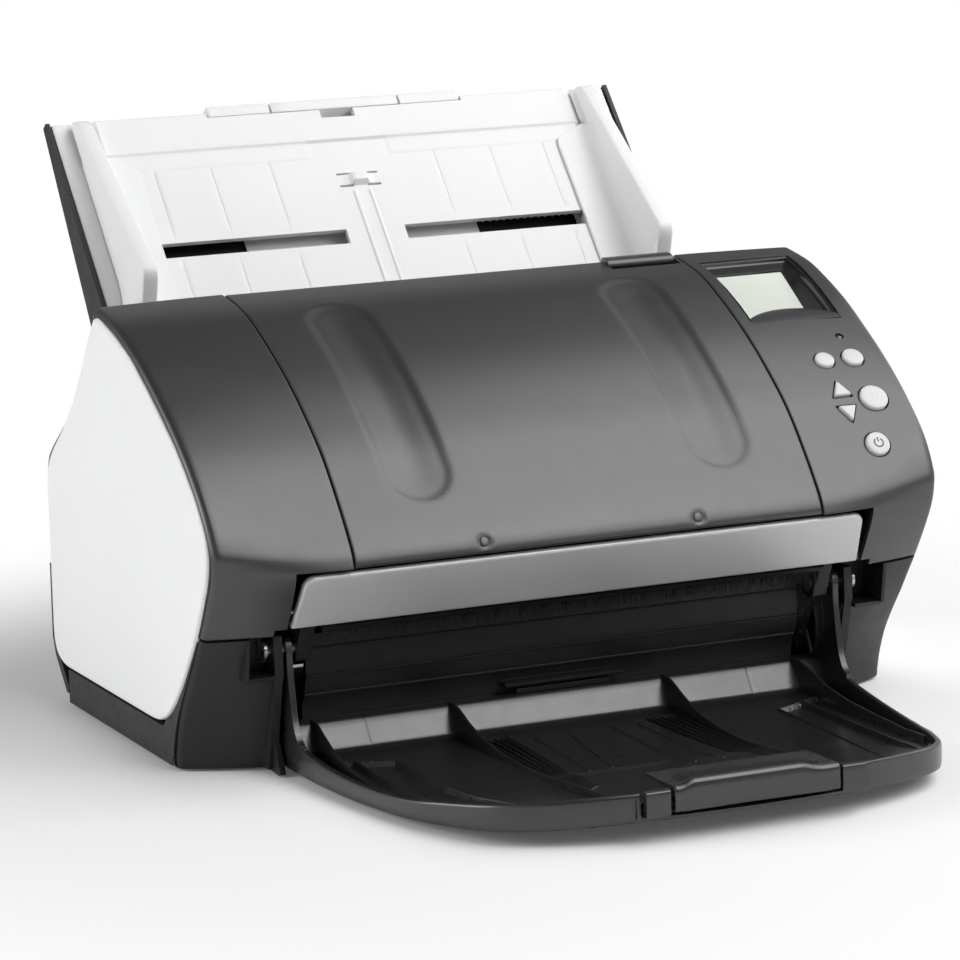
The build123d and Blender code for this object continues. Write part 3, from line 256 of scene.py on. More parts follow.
def metal(name, colour, roughness, brushed=True, scale=600.0):
    """Plated or turned metal: streaks one way if brushed, small stains, soft corners."""
    surface = Surface(name)
    stretch = (0.04, 1.0, 1.0) if brushed else (1, 1, 1)
    mapping = surface.add("Mapping", {"Scale": stretch, 0: surface.coords})
    streaks = surface.add("TexNoise", {"Scale": scale, "Detail": 6,
                                       "Vector": mapping.outputs[0]}).outputs["Fac"]
    stains = surface.noise(scale=30.0, detail=5.0)
    bump = surface.bump(streaks, strength=0.12, distance=0.0001)
    surface.shade({
        "Base Color": surface.ramp(stains, scaled(colour, 0.82), colour, high=0.75),
        "Metallic": 1.0,
        "Roughness": surface.spread(streaks, roughness * 0.7, roughness * 1.35),
        "Normal": surface.bevel(0.0002, Normal=bump),
    })
    return surface.material


def polished_glass(name, colour, roughness):
    surface = Surface(name)
    smears = surface.noise(scale=60.0, detail=4.0)
    surface.shade({
        "Roughness": surface.spread(smears, roughness * 0.6, roughness * 1.6),
        "Base Color": surface.ramp(smears, scaled(colour, 0.94), colour),
        "Transmission Weight": 0.9,
        "IOR": 1.5,
    })
    return surface.material


def display_panel(name):
    """Switched-off display: pale green-grey with a faint dot matrix under a glossy cover."""
    surface = Surface(name)
    dots = surface.add("TexChecker", {
        "Scale": 3600.0, "Color1": (0.74, 0.78, 0.71, 1), "Color2": (0.77, 0.81, 0.74, 1),
        "Vector": surface.coords})
    slow = surface.noise(scale=45.0, detail=3.0)
    tone = surface.ramp(slow, (0.70, 0.74, 0.68), (0.82, 0.86, 0.80))
    surface.shade({
        "Base Color": surface.mix_colour(0.3, dots.outputs[0], tone),
        "Roughness": surface.spread(slow, 0.10, 0.20),
        "Coat Weight": 0.7,
        "Coat Roughness": 0.05,
    })
    return surface.material


def circuit_board(name):
    """Green solder mask with paler raised lines along cell edges."""
    surface = Surface(name)
    lines = surface.add("TexVoronoi", {"Scale": 260.0, "Vector": surface.coords},
                        feature="DISTANCE_TO_EDGE").outputs["Distance"]
    speckle = surface.noise(scale=300.0, detail=3.0)
    surface.shade({
        "Base Color": surface.ramp(lines, (0.09, 0.30, 0.15), (0.02, 0.13, 0.06),
                                   low=0.02, high=0.06),
        "Roughness": surface.spread(speckle, 0.25, 0.45),
        "Normal": surface.bump(lines, strength=0.3, distance=0.0001),
    })
    return surface.material


# Slot: name, colour, roughness, grain scale, grain height, mottle, roughness swing, specular,
# edge wear and painted edge highlight, edge radius (m), then any extras
PLASTICS = {
    "dark_cover": ("dark_cover_plastic", (0.022, 0.0222, 0.0232),
                   0.36, 2300, 0.10, 0.03, 0.018, 0.95, 0.20, 0.0003, {}),
    "black_casing": ("black_casing_plastic", (0.013, 0.013, 0.0135),
                     0.46, 2100, 0.12, 0.08, 0.06, 0.42, 0.16, 0.0003, {}),
    "white_panel": ("white_panel_plastic", (0.925, 0.93, 0.935),
                    0.42, 2600, 0.04, 0.012, 0.05, 0.4, 0.10, 0.0004, {"subsurface": 0.05}),
    "chute_white": ("chute_white_plastic", (0.865, 0.868, 0.873),
                    0.40, 2600, 0.045, 0.014, 0.05, 0.4, 0.10, 0.0003, {"subsurface": 0.05}),
    "grey_strip": ("grey_strip_paint", (0.62, 0.62, 0.63),
                   0.40, 3200, 0.06, 0.025, 0.05, 0.5, 0.25, 0.0004, {"metallic": 0.35}),
    # the tray's strong edge lightening is mostly painted highlight along its rims and ribs
    "tray_black": ("tray_black_plastic", (0.014, 0.014, 0.015),
                   0.29, 2400, 0.03, 0.04, 0.02, 0.80, 0.55, 0.00025, {"coat": 0.12}),
    "brush_fibre": ("brush_fibre", (0.012, 0.012, 0.012),
                    0.5, 4000, 0.1, 0.3, 0.1, 0.4, 0.1, 0.0001, {}),
    "button_grey": ("button_grey_plastic", (0.66, 0.66, 0.655),
                    0.36, 2800, 0.04, 0.02, 0.05, 0.5, 0.12, 0.0003, {"subsurface": 0.03}),
    "bezel_black": ("bezel_black_plastic", (0.012, 0.012, 0.013),
                    0.17, 3000, 0.01, 0.06, 0.05, 0.5, 0.2, 0.0003, {"coat": 0.4}),
    "indicator": ("indicator_lens", (0.05, 0.04, 0.035),
                  0.12, 3000, 0.01, 0.05, 0.03, 0.5, 0.1, 0.0002, {"coat": 0.6}),
    "optics_black": ("optics_black_plastic", (0.025, 0.025, 0.028),
                     0.46, 2000, 0.1, 0.08, 0.07, 0.4, 0.15, 0.0003, {}),
    "bush_plastic": ("acetal", (0.70, 0.70, 0.66),
                     0.45, 2000, 0.05, 0.03, 0.05, 0.4, 0.1, 0.0002, {"subsurface": 0.05}),
    "roller_rubber": ("roller_rubber", (0.10, 0.10, 0.11),
                      0.72, 1800, 0.22, 0.12, 0.08, 0.25, 0.3, 0.0002, {"dust": 0.12}),
    "black_rubber": ("black_rubber", (0.02, 0.02, 0.02),
                     0.70, 1800, 0.22, 0.12, 0.08, 0.25, 0.3, 0.0002, {}),
    "mark": ("key_mark_ink", (0.13, 0.13, 0.135),
             0.5, 2600, 0.02, 0.05, 0.05, 0.4, 0.1, 0.0001, {}),
    "gap": ("shadow_gap_black", (0.004, 0.004, 0.004),
            0.6, 2000, 0.05, 0.1, 0.05, 0.3, 0.05, 0.0002, {}),
}
MATERIALS = {key: plastic(*row[:-1], **row[-1]) for key, row in PLASTICS.items()}
MATERIALS.update({
    "display": display_panel("display_panel"),
    "steel": metal("plated_steel", (0.60, 0.60, 0.62), roughness=0.30),
    "clear_glass": polished_glass("polished_glass", (0.86, 0.92, 0.90), roughness=0.03),
    "circuit_board": circuit_board("solder_mask"),
    "motor_metal": metal("motor_can", (0.45, 0.45, 0.47), roughness=0.36, scale=400.0),
    "brass_pulley": metal("turned_brass", (0.72, 0.55, 0.25), roughness=0.25, brushed=False,
                          scale=900.0),
})


# ------------------------------------------------------------------ mesh helpers (in mm)
class Shell:
    """Collects closed shells into one mesh; slot is the material index given to new faces."""

    def __init__(self):
        self.verts, self.faces, self.slots = [], [], []
        self.slot = 0

    def add(self, verts, faces):
        first = len(self.verts)
        self.verts += [tuple(v) for v in verts]
        self.faces += [tuple(i + first for i in face) for face in faces]
        self.slots += [self.slot] * len(faces)

    def add_side(self, other, side):
        """Another shell, mirrored in x when side is -1."""
        self.add([(side * x, y, z) for x, y, z in other.verts], other.faces)

    def extrude(self, start, end):
        n = len(start)
        caps = [tuple(range(n))[::-1], tuple(range(n, 2 * n))]
        sides = [(i, (i + 1) % n, n + (i + 1) % n, n + i) for i in range(n)]
        self.add(start + end, caps + sides)

    def prism(self, outline, x0, x1):
        """A closed (y, z) outline, extruded along x."""
        self.extrude([(x0, y, z) for y, z in outline], [(x1, y, z) for y, z in outline])

    def slab(self, outline, low, high, place=lambda x, y, z: (x, y, z)):
        """A closed flat outline given a thickness, then placed."""
        self.extrude([place(x, y, low) for x, y in outline],
                     [place(x, y, high) for x, y in outline])

    def sweep(self, rings, cap=True):
        """Closed rings of equal length joined in order."""
        n = len(rings[0])
        faces = []
        for k in range(len(rings) - 1):
            for i in range(n):
                j = (i + 1) % n
                faces.append((k * n + i, k * n + j, (k + 1) * n + j, (k + 1) * n + i))
        if cap:
            faces.append(tuple(range(n))[::-1])
            faces.append(tuple((len(rings) - 1) * n + i for i in range(n)))
        self.add([point for ring in rings for point in ring], faces)

    def sheet(self, grid, thickness, normals, mask=None):
        """A point grid thickened against its normals, left open where mask is False."""
        rows, columns = grid.shape[:2]
        inner = grid - normals * np.asarray(thickness)[..., None]
        verts = np.concatenate([grid.reshape(-1, 3), inner.reshape(-1, 3)])
        under = rows * columns
        if mask is None:
            mask = np.ones((rows - 1, columns - 1), bool)
        faces = []
        for i in range(rows - 1):
            for j in range(columns - 1):
                if not mask[i, j]:
                    continue
                a = i * columns + j
                b = a + columns
                c = b + 1
                d = a + 1
                faces.append((a, b, c, d))
                faces.append((d + under, c + under, b + under, a + under))
                if i == 0 or not mask[i - 1, j]:
                    faces.append((a, d, d + under, a + under))
                if i == rows - 2 or not mask[i + 1, j]:
                    faces.append((c, b, b + under, c + under))
                if j == 0 or not mask[i, j - 1]:
                    faces.append((b, a, a + under, b + under))
                if j == columns - 2 or not mask[i, j + 1]:
                    faces.append((d, c, c + under, d + under))
        used = sorted({i for face in faces for i in face})
        renumber = {old: new for new, old in enumerate(used)}
        self.add(verts[used], [tuple(renumber[i] for i in face) for face in faces])

    def lathe(self, profile, place, n):
        """(radius, height) profile, from the axis at the bottom to the axis at the top."""
        rings = profile[1:-1]
        verts = [place(0, 0, profile[0][1])]
        for radius, height in rings:
            verts += [place(u, v, height) for u, v in circle(radius, n)]
        verts.append(place(0, 0, profile[-1][1]))
        faces = [(0, 1 + (q + 1) % n, 1 + q) for q in range(n)]
        for k in range(len(rings) - 1):
            low, high = 1 + k * n, 1 + (k + 1) * n
            faces += [(low + q, low + (q + 1) % n, high + (q + 1) % n, high + q)
                      for q in range(n)]
        last = 1 + (len(rings) - 1) * n
        faces += [(last + q, last + (q + 1) % n, len(verts) - 1) for q in range(n)]
        self.add(verts, faces)


def mesh_object(name, shell):
    mesh = bpy.data.meshes.new(name)
    verts = [(float(x) * MM, (float(y) + Y_SHIFT) * MM, float(z) * MM)
             for x, y, z in shell.verts]
    mesh.from_pydata(verts, [], shell.faces)
    mesh.validate()
    edit = bmesh.new()
    edit.from_mesh(mesh)
    bmesh.ops.recalc_face_normals(edit, faces=edit.faces)
    edit.to_mesh(mesh)
    edit.free()
    part = bpy.data.objects.new(name, mesh)
    bpy.context.scene.collection.objects.link(part)
    return part


def shade_smooth(mesh, sharp):
    mesh.polygons.foreach_set("use_smooth", [True] * len(mesh.polygons))
    mesh.set_sharp_from_angle(angle=math.radians(sharp))


def make(name, shell, finish, body, replaces=None, sharp=34.0, bevel=0.0, inks=()):
    """A finished part riding on a CAD body; inks are further materials for marked faces."""
    part = mesh_object(name, shell)
    for key in (finish, *inks):
        part.data.materials.append(MATERIALS[key])
    if inks:
        part.data.polygons.foreach_set("material_index", np.asarray(shell.slots, np.int32))
    shade_smooth(part.data, sharp)
    if bevel > 0:
        soft = part.modifiers.new("soft_edges", "BEVEL")
        soft.width = bevel * MM
        soft.segments = 3
        soft.limit_method = "ANGLE"
        soft.angle_limit = math.radians(32)
        soft.harden_normals = True
    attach(part, body)
    if replaces:
        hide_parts(replaces)
    return part


# ------------------------------------------------------------------ shape helpers
UP = (0.0, 0.0, 1.0)
FRONT = (0.0, -1.0, 0.0)


def grid_normals(grid, sample, direction):
    """Unit normals, turned so that the one at sample faces the given direction."""
    normals = np.cross(np.gradient(grid, axis=0), np.gradient(grid, axis=1))
    normals /= np.maximum(np.linalg.norm(normals, axis=2, keepdims=True), 1e-9)
    return normals if normals[sample] @ direction >= 0 else -normals


def section_grid(xs, section):
    return np.array([[(x, y, z) for y, z in section(x)] for x in xs])


def cell_centres(grid):
    """x, y and z arrays of the grid's cell centres."""
    centres = (grid[1:, 1:] + grid[:-1, 1:] + grid[1:, :-1] + grid[:-1, :-1]) / 4
    return np.moveaxis(centres, -1, 0)


def smooth(points, steps):
    """Catmull-Rom curve through the points."""
    curve = []
    last = len(points) - 1
    for i in range(last):
        span = points[max(i - 1, 0)], points[i], points[i + 1], points[min(i + 2, last)]
        for k in range(steps):
            t = k / steps
            curve.append(tuple(
                0.5 * (2 * b + (c - a) * t + (2 * a - 5 * b + 4 * c - d) * t * t
                       + (3 * b - a - 3 * c + d) * t ** 3) for a, b, c, d in zip(*span)))
    curve.append(tuple(points[-1]))
    return curve


def roll(distance, radius):
    """Drop of a rounded edge at a distance from the edge."""
    distance = np.clip(distance, 0, radius)
    return radius - np.sqrt(np.maximum(radius * radius - (radius - distance) ** 2, 0))


def smoothstep(start, end, x):
    t = np.clip((x - start) / (end - start), 0, 1)
    return t * t * (3 - 2 * t)


def edge_grid(start, end, step, fine=(0.12, 0.3, 0.55, 0.9, 1.4), extra=()):
    """Values from start to end, dense by both ends, with extra values worked in."""
    inner = list(np.arange(start + fine[-1] + step * 0.6, end - fine[-1] - step * 0.4, step))
    values = [start, end] + [start + f for f in fine] + inner + [end - f for f in fine]
    for stop in extra:
        values = [v for v in values if abs(v - stop) > step * 0.3 or v in (start, end)]
        values.append(stop)
    return np.unique(np.round(values, 4))


def arc_lengths(points):
    return np.concatenate([[0], np.cumsum(np.hypot(*np.diff(points, axis=0).T))])


def resample(curve, lengths):
    """(y, z) points of a dense line at arc lengths."""
    points = np.array(curve, float)
    arc = arc_lengths(points)
    return np.stack([np.interp(lengths, arc, points[:, k]) for k in (0, 1)], -1)


def arc_where(curve, level):
    """Arc length at which level(y, z) first crosses zero."""
    points = np.array(curve, float)
    arc = arc_lengths(points)
    for i in range(len(points) - 1):
        here, there = level(*points[i]), level(*points[i + 1])
        if here * there <= 0 and here != there:
            return float(arc[i] + (arc[i + 1] - arc[i]) * here / (here - there))


def neighbours(points, i):
    return points[max(i - 1, 0)], points[min(i + 1, len(points) - 1)]


def shifted(points, distance):
    """An open (y, z) outline moved to the left of its direction, y taken as pointing right."""
    moved = []
    for i, (y, z) in enumerate(points):
        before, after = neighbours(points, i)
        run, rise = after[0] - before[0], after[1] - before[1]
        length = math.hypot(run, rise)
        moved.append((y - rise / length * distance, z + run / length * distance))
    return moved


def blended(centre, side, x):
    """Outline at x, between the centre one and the one at the sides."""
    share = ((x - SEAM) / BLEND_WIDTH) ** 1.8
    return [(a[0] * (1 - share) + b[0] * share, a[1] * (1 - share) + b[1] * share)
            for a, b in zip(centre, side)]


def circle(radius, n):
    return [(radius * math.cos(2 * math.pi * k / n), radius * math.sin(2 * math.pi * k / n))
            for k in range(n)]


def rectangle(x0, x1, y0, y1):
    return [(x0, y0), (x1, y0), (x1, y1), (x0, y1)]


def rounded_rectangle(width, height, radius, steps, centre):
    points = []
    for sx, sy, start in ((1, 1, 0), (-1, 1, 90), (-1, -1, 180), (1, -1, 270)):
        for k in range(steps + 1):
            angle = math.radians(start + 90 * k / steps)
            points.append((centre[0] + sx * (width / 2 - radius) + radius * math.cos(angle),
                           centre[1] + sy * (height / 2 - radius) + radius * math.sin(angle)))
    return points


def triangle(radius, up, rounding):
    """Arrow outline with rounded corners, pointing up or down."""
    k = 1 if up else -1
    corners = np.array([(0, k * radius * 1.12), (-radius * 1.05, -k * radius * 0.85),
                        (radius * 1.05, -k * radius * 0.85)])
    points = []
    for i in range(3):
        corner = corners[i]
        back, ahead = corners[i - 1] - corner, corners[(i + 1) % 3] - corner
        back = back / np.linalg.norm(back)
        ahead = ahead / np.linalg.norm(ahead)
        for t in (0, 0.33, 0.67, 1):
            points.append(tuple(corner + back * rounding * (1 - t) * (1 - t)
                                + ahead * rounding * t * t))
    return points


def surface_place(x, y, z, ny, nz):
    """Placer from (u along x, v up the surface, h outward) around a point with a normal."""
    length = math.hypot(ny, nz)
    ny, nz = ny / length, nz / length
    return lambda u, v, h: (x + u, y + v * nz + h * ny, z - v * ny + h * nz)


def chute_place(x, along, out):
    """Point on the chute: along runs up its slope, out towards the paper side."""
    return (x, CHUTE_ORIGIN[0] + along * CHUTE_SLOPE[0] - out * CHUTE_SLOPE[1],
            CHUTE_ORIGIN[1] + along * CHUTE_SLOPE[1] + out * CHUTE_SLOPE[0])


def chute_bar(shell, outline, x0, x1):
    """An (along, out) outline run across the chute."""
    shell.sweep([[chute_place(x, along, out) for along, out in outline] for x in (x0, x1)])


# ------------------------------------------------------------------ centre cover
def build_centre_cover():
    """Curved cover with two long finger indents and a notch for the release tab."""
    notch = (63.3, 93.7)
    curve = smooth(TOP_CENTRE, 12)
    end = arc_where(curve, lambda y, z: z - 79.7 if y < -80 else 99)
    notch_end = arc_where(curve, lambda y, z: y - 18.6)
    xs = edge_grid(-CENTRE_EDGE, CENTRE_EDGE, 1.5, extra=(63.2, 63.6, 93.4, 93.8))
    arcs = edge_grid(0, end, 1.5, extra=(notch_end,))
    across, along = np.meshgrid(xs, arcs, indexing="ij")
    grid = np.concatenate([across[..., None], resample(curve, along)], -1)
    normals = grid_normals(grid, (len(xs) // 2, 4), UP)

    drop = np.zeros_like(across)
    for x in (-61.5, 61.5):     # finger indents
        beyond = along - np.clip(along, 34.4, 116.3)
        inside = np.hypot(across - x, beyond) - 14.0
        drop += 0.85 * smoothstep(0.3, -3.4, inside) + 0.9 * smoothstep(-2.0, -14.0, inside)
    drop += roll(np.minimum(across + CENTRE_EDGE, CENTRE_EDGE - across), 0.55)
    drop += roll(end - along, 1.6) + roll(along, 1.2)
    cap_arc = arc_where(curve, lambda y, z: y - CAP_Y)
    for x in (-CAP_X, CAP_X):   # sunk seats of the screw caps
        drop += 0.9 * smoothstep(2.35, 2.05, np.hypot(across - x, along - cap_arc))

    mid_x, mid_arc = (xs[1:] + xs[:-1]) / 2, (arcs[1:] + arcs[:-1]) / 2
    mask = np.ones((len(mid_x), len(mid_arc)), bool)
    mask[np.ix_((mid_x > notch[0]) & (mid_x < notch[1]), mid_arc < notch_end)] = False
    shell = Shell()
    shell.sheet(grid - normals * drop[..., None], 2.0, normals, mask)

    # back wall under the rear top edge, lower across the notch, and the notch's floor
    for x0, x1 in ((-95.1, 63.2), (93.8, 95.1)):
        shell.prism([(28.6, 161.9), (30.0, 160.6), (37.0, 118.4), (34.9, 118.2),
                     (27.6, 160.2)], x0, x1)
    shell.prism([(31.6, 140.4), (37.0, 118.4), (34.9, 118.2), (29.6, 140.2)], 63.2, 93.8)
    shell.prism([(18.2, 161.4), (19.0, 161.6), (19.6, 158.6), (26.3, 154.2), (27.0, 141.0),
                 (35.2, 118.6), (34.0, 118.2), (25.8, 140.6), (25.6, 153.6), (18.4, 157.6)],
                62.6, 94.3)
    # end webs and the turned-in lower lip
    web = shifted(resample(curve, np.linspace(2.2, end - 1.0, 40)), 1.2)
    web += [(-84.0, 79.8), (-75.0, 79.8), (-61.5, 70.4), (32.0, 112.2), (36.2, 118.4)]
    for x0, x1 in ((-95.1, -93.4), (93.4, 95.1)):
        shell.prism(web, x0, x1)
    shell.prism([(-91.0, 80.9), (-90.4, 79.75), (-76.0, 79.75), (-76.0, 81.2)], -95.0, 95.0)
    make("centre_cover_shell", shell, "dark_cover", "front_unit", "front_centre_cover",
         sharp=40)


def build_cover_caps():
    shell = Shell()
    profile = [(0, -2.2), (1.85, -2.2), (1.85, -0.75), (1.7, -0.5), (1.2, -0.36), (0, -0.32)]
    for x in (-CAP_X, CAP_X):
        shell.lathe(profile, surface_place(x, CAP_Y, 84.0, -0.90, 0.436), 28)
    make("cover_fixing_caps", shell, "dark_cover", "front_unit", "cover_screw_caps")


# ------------------------------------------------------------------ side covers
def cover_section(x, steps=9):
    """(y, z) section: up from the lower front edge, over the top and down the rear."""
    top = smooth(blended(TOP_CENTRE, TOP_SIDE, x), steps)[::-1]
    lift = top[-1][1] - TOP_CENTRE[0][1]
    edge = [(y, z + lift * ((z - 157) / 6.4) * 0.9) for y, z in REAR_EDGE]
    return np.array(top + edge + smooth(REAR_CURVE, 5)[1:] + REAR_DROP)


def build_side_cover(name, side, replaces):
    xs = edge_grid(SIDE_INNER, SIDE_OUTER, 1.6, SIDE_FINE, (115.2, 117.9, 122.5, 124.6))
    grid = section_grid(xs, cover_section)
    normals = grid_normals(grid, (5, grid.shape[1] // 3), FRONT)
    steps = np.linalg.norm(np.diff(grid, axis=1), axis=2)
    arc = np.concatenate([np.zeros((len(xs), 1)), np.cumsum(steps, axis=1)], axis=1)
    drop = roll(SIDE_OUTER - grid[:, :, 0], 2.6) + roll(grid[:, :, 0] - SIDE_INNER, 0.5)
    drop += roll(arc, 0.8)

    # open at the rear by the chute, and in front by the strip and the paper outlet
    x, y, z = cell_centres(grid)
    mask = ~(((y > 58.0) & (x < 124.6))
             | ((x < 117.9) & (z < 79.6) & (y < 0))
             | ((x < 122.5) & (z < 57.0) & (y < 0)))
    half = Shell()
    half.sheet(grid - normals * drop[..., None], 2.0, normals, mask)

    # outer side wall behind the white panel
    centre = np.array((10.0, 95.0))
    outline = cover_section(SIDE_OUTER, 4)
    half.prism([point + (centre - point) / np.linalg.norm(centre - point) * 2.5
                for point in outline], 145.4, 148.05)
    # inboard web above the paper path
    upper = [point for point in cover_section(SIDE_INNER, 4)
             if point[1] > 79.8 and point[0] < 58]
    half.prism(shifted(upper, -1.1)
               + [(57.0, 122.4), (36.0, 117.4), (-61.5, 70.4), (-75.0, 80.0)], 96.0, 97.9)
    # upright wall beside the strip's end and the paper outlet
    half.prism([(-88.0, 79.6), (-80.0, 79.6), (-66.0, 57.2), (-77.0, 57.2)], 117.95, 119.9)
    shell = Shell()
    shell.add_side(half, side)
    return make(name, shell, "dark_cover", "base", replaces, sharp=40)


LIGHT_PLACE = surface_place(133.5, -37.2, 136.7, -0.537, 0.844)
DISPLAY_PLACE = surface_place(120.2, -4.0, 152.6, -0.378, 0.926)
DISPLAY_HOLE = [(-19.6, -24.6), (19.4, -26.2), (20.6, 23.6), (-19.6, 23.2)]


def cut_openings(cover):
    """Cuts the holes of the keys, the status light and the display through the right cover."""
    holes = []
    for name, *place, radius in BUTTONS:
        if name in ARROWS:
            outline = triangle(radius + 1.0, name == "up_button", 1.0)
        else:
            outline = circle(radius + 0.62, 48)
        holes.append(("cut_" + name, outline, 6, surface_place(*place)))
    holes.append(("cut_led", circle(1.75, 32), 6, LIGHT_PLACE))
    holes.append(("cut_lcd", DISPLAY_HOLE, 9, DISPLAY_PLACE))

    cutters = []
    for name, outline, reach, place in holes:
        shell = Shell()
        shell.slab(outline, -reach, reach, place)
        cutter = mesh_object(name, shell)
        cutters.append(cutter)
        cut = cover.modifiers.new(name, "BOOLEAN")
        cut.operation = "DIFFERENCE"
        cut.solver = "EXACT"
        cut.object = cutter
    bpy.context.view_layer.update()
    graph = bpy.context.evaluated_depsgraph_get()
    mesh = bpy.data.meshes.new_from_object(cover.evaluated_get(graph))
    cover.modifiers.clear()
    cover.data = mesh
    for cutter in cutters:
        bpy.data.objects.remove(cutter)
    shade_smooth(mesh, 40)


def build_side_covers():
    build_side_cover("left_cover_shell", -1, "left_top_cover")
    cut_openings(build_side_cover("right_cover_shell", 1, "right_top_cover"))


# ------------------------------------------------------------------ keys and status light
def raised_ring(shell, profile, angles, place, cap):
    """A (radius, height) section carried round the given angles."""
    shell.sweep([[place(r * math.cos(a), r * math.sin(a), h) for r, h in profile]
                 for a in angles], cap)


def add_key_mark(shell, name, place):
    """Raised marks: slot 1 is dark ink, slot 2 grey paint."""
    if name == "power_button":
        shell.slot = 1
        raised_ring(shell, ((1.5, 1.3), (1.5, 1.52), (2.15, 1.49), (2.15, 1.3)),
                    [math.radians(125 + 290 * k / 25) for k in range(26)], place, cap=True)
        shell.slab(rectangle(-0.27, 0.27, 0.3, 2.3), 1.3, 1.53, place)
    elif name == "stop_button":
        shell.slot = 2
        raised_ring(shell, ((1.35, 1.38), (1.35, 1.505), (1.65, 1.495), (1.65, 1.38)),
                    np.linspace(0, 2 * math.pi, 33), place, cap=False)
    elif name == "scan_button":
        shell.slot = 2
        chevron = [(-1.2, -1.7), (-0.8, -1.7), (0.9, 0.05), (-0.8, 1.8), (-1.2, 1.8),
                   (0.4, 0.05)]
        for shift in (-1, 1):
            shell.slab([(shift + u, v) for u, v in chevron], 1.3, 1.52, place)


def build_keys():
    for name, *spot, r in BUTTONS:
        place = surface_place(*spot)
        shell = Shell()
        if name in ARROWS:
            up = name == "up_button"
            # scale, height
            levels = ((0.98, -4.2), (1.0, 0.3), (0.99, 0.7), (0.94, 1.0), (0.84, 1.18),
                      (0.5, 1.26))
            shell.sweep([[place(u, v, h) for u, v in triangle(r * scale, up, 0.7 * scale)]
                         for scale, h in levels])
            shell.lathe([(0, -5), (1.5, -5), (1.5, -4), (0, -4)], place, 16)
        else:
            shell.lathe([(0, -4.3), (r * 0.98, -4.3), (r, -3.9), (r, 0.5), (r - 0.08, 0.85),
                         (r - 0.3, 1.12), (r - 0.75, 1.30), (r * 0.6, 1.43), (r * 0.3, 1.49),
                         (0, 1.5)], place, 48)
        add_key_mark(shell, name, place)
        make(name + "_cap", shell, "button_grey", name, name, sharp=38,
             inks=("mark", "grey_strip"))


def build_status_light():
    shell = Shell()
    shell.lathe([(0, -4), (1.3, -4), (1.3, -0.75), (1.15, -0.45), (0.7, -0.25), (0, -0.18)],
                LIGHT_PLACE, 28)
    make("status_light_lens", shell, "indicator", "base", "status_light")


# ------------------------------------------------------------------ display
# Rings of the frame, from its outer foot over the rim and down to the glass:
# four corners (across, up the slope, outward)
FRAME_RINGS = [
    ((-19.4, -24.3, -7.2), (19.2, -25.9, -7.2), (20.4, 23.4, -7.2), (-19.4, 23.0, -7.2)),
    ((-19.4, -24.3, -0.6), (19.2, -25.9, -0.8), (20.4, 23.4, -0.9), (-19.4, 23.0, -0.7)),
    ((-18.9, -23.8, -0.35), (18.6, -25.2, -0.5), (19.7, 22.8, -0.55), (-18.9, 22.4, -0.4)),
    ((-18.5, -23.4, -0.5), (17.6, -24.6, -0.9), (18.9, 21.9, -0.9), (-18.5, 21.6, -0.7)),
    ((-18.3, -23.2, -1.6), (17.2, -24.2, -1.9), (18.5, 21.4, -1.9), (-18.3, 21.2, -1.7)),
    ((-17.8, -22.8, -2.2), (16.2, -23.2, -2.6), (17.9, 21.0, -2.1), (-17.8, 20.8, -2.0)),
    ((-17.4, -22.2, -2.5), (15.6, -22.4, -3.0), (17.4, 20.6, -2.2), (-17.4, 20.4, -2.2)),
    ((-16.9, -13.8, -7.5), (13.6, -13.8, -7.5), (14.2, 14.7, -2.3), (-16.9, 14.7, -2.3)),
    ((-16.3, -13.2, -8.6), (13.1, -13.2, -8.6), (13.6, 14.1, -3.4), (-16.3, 14.1, -3.4)),
]


def crown(v, height):
    """Lengthways bulge of the cover around the display."""
    return max(-0.6, height * (1 - (v / 24.0) ** 2))


def build_display_frame():
    rings = []
    for corners in FRAME_RINGS:
        ring = []
        for i in range(4):
            start, end = np.array(corners[i]), np.array(corners[(i + 1) % 4])
            # the rim follows the cover's crown, the step inside it less, the well not at all
            bulge = 1.9 if start[2] > -1.0 else 1.2 if start[2] > -3 else 0.0
            for t in (0.0, 0.03, 0.25, 0.5, 0.75, 0.97):
                u, v, h = start + (end - start) * t
                ring.append(DISPLAY_PLACE(u, v, h + crown(v, bulge)))
        rings.append(ring)
    rings.append(rings[0])
    shell = Shell()
    shell.sweep(rings, cap=False)
    make("display_frame", shell, "bezel_black", "base", "lcd_bezel", sharp=24)


def build_display_window():
    def tilted(u, v, h):
        return DISPLAY_PLACE(u, v, h - 2.1 + (v - 14.3) * 0.188)

    shell = Shell()
    for width, height, low, high in ((29.9, 27.6, -1.35, 0.0), (27.6, 25.0, -3.4, -1.5)):
        shell.slab(rounded_rectangle(width, height, 0.5, 3, (-1.55, 0.45)), low, high, tilted)
    make("display_window", shell, "display", "base", "lcd_display", bevel=0.25)


def build_display_lip():
    """Curved flap over the window's lower edge, level with the cover along its foot."""
    columns, rows = 36, 14
    foot = -25.6
    grid = np.zeros((columns, rows, 3))
    for i in range(columns):
        share = i / (columns - 1)
        u = -19.5 + 38.9 * share
        arch = math.sin(math.pi * share) ** 0.75
        tip = -22.6 + 8.8 * arch
        for j in range(rows):
            t = j / (rows - 1)
            v = foot + (tip - foot) * t
            h = crown(v, 1.9) - 0.12 - 2.6 * arch * t ** 2.2 - 0.35 * t
            grid[i, j] = DISPLAY_PLACE(u, v, h)
    shell = Shell()
    shell.sheet(grid, 0.9, grid_normals(grid, (columns // 2, 1), UP))
    make("display_lip", shell, "dark_cover", "base", sharp=40)


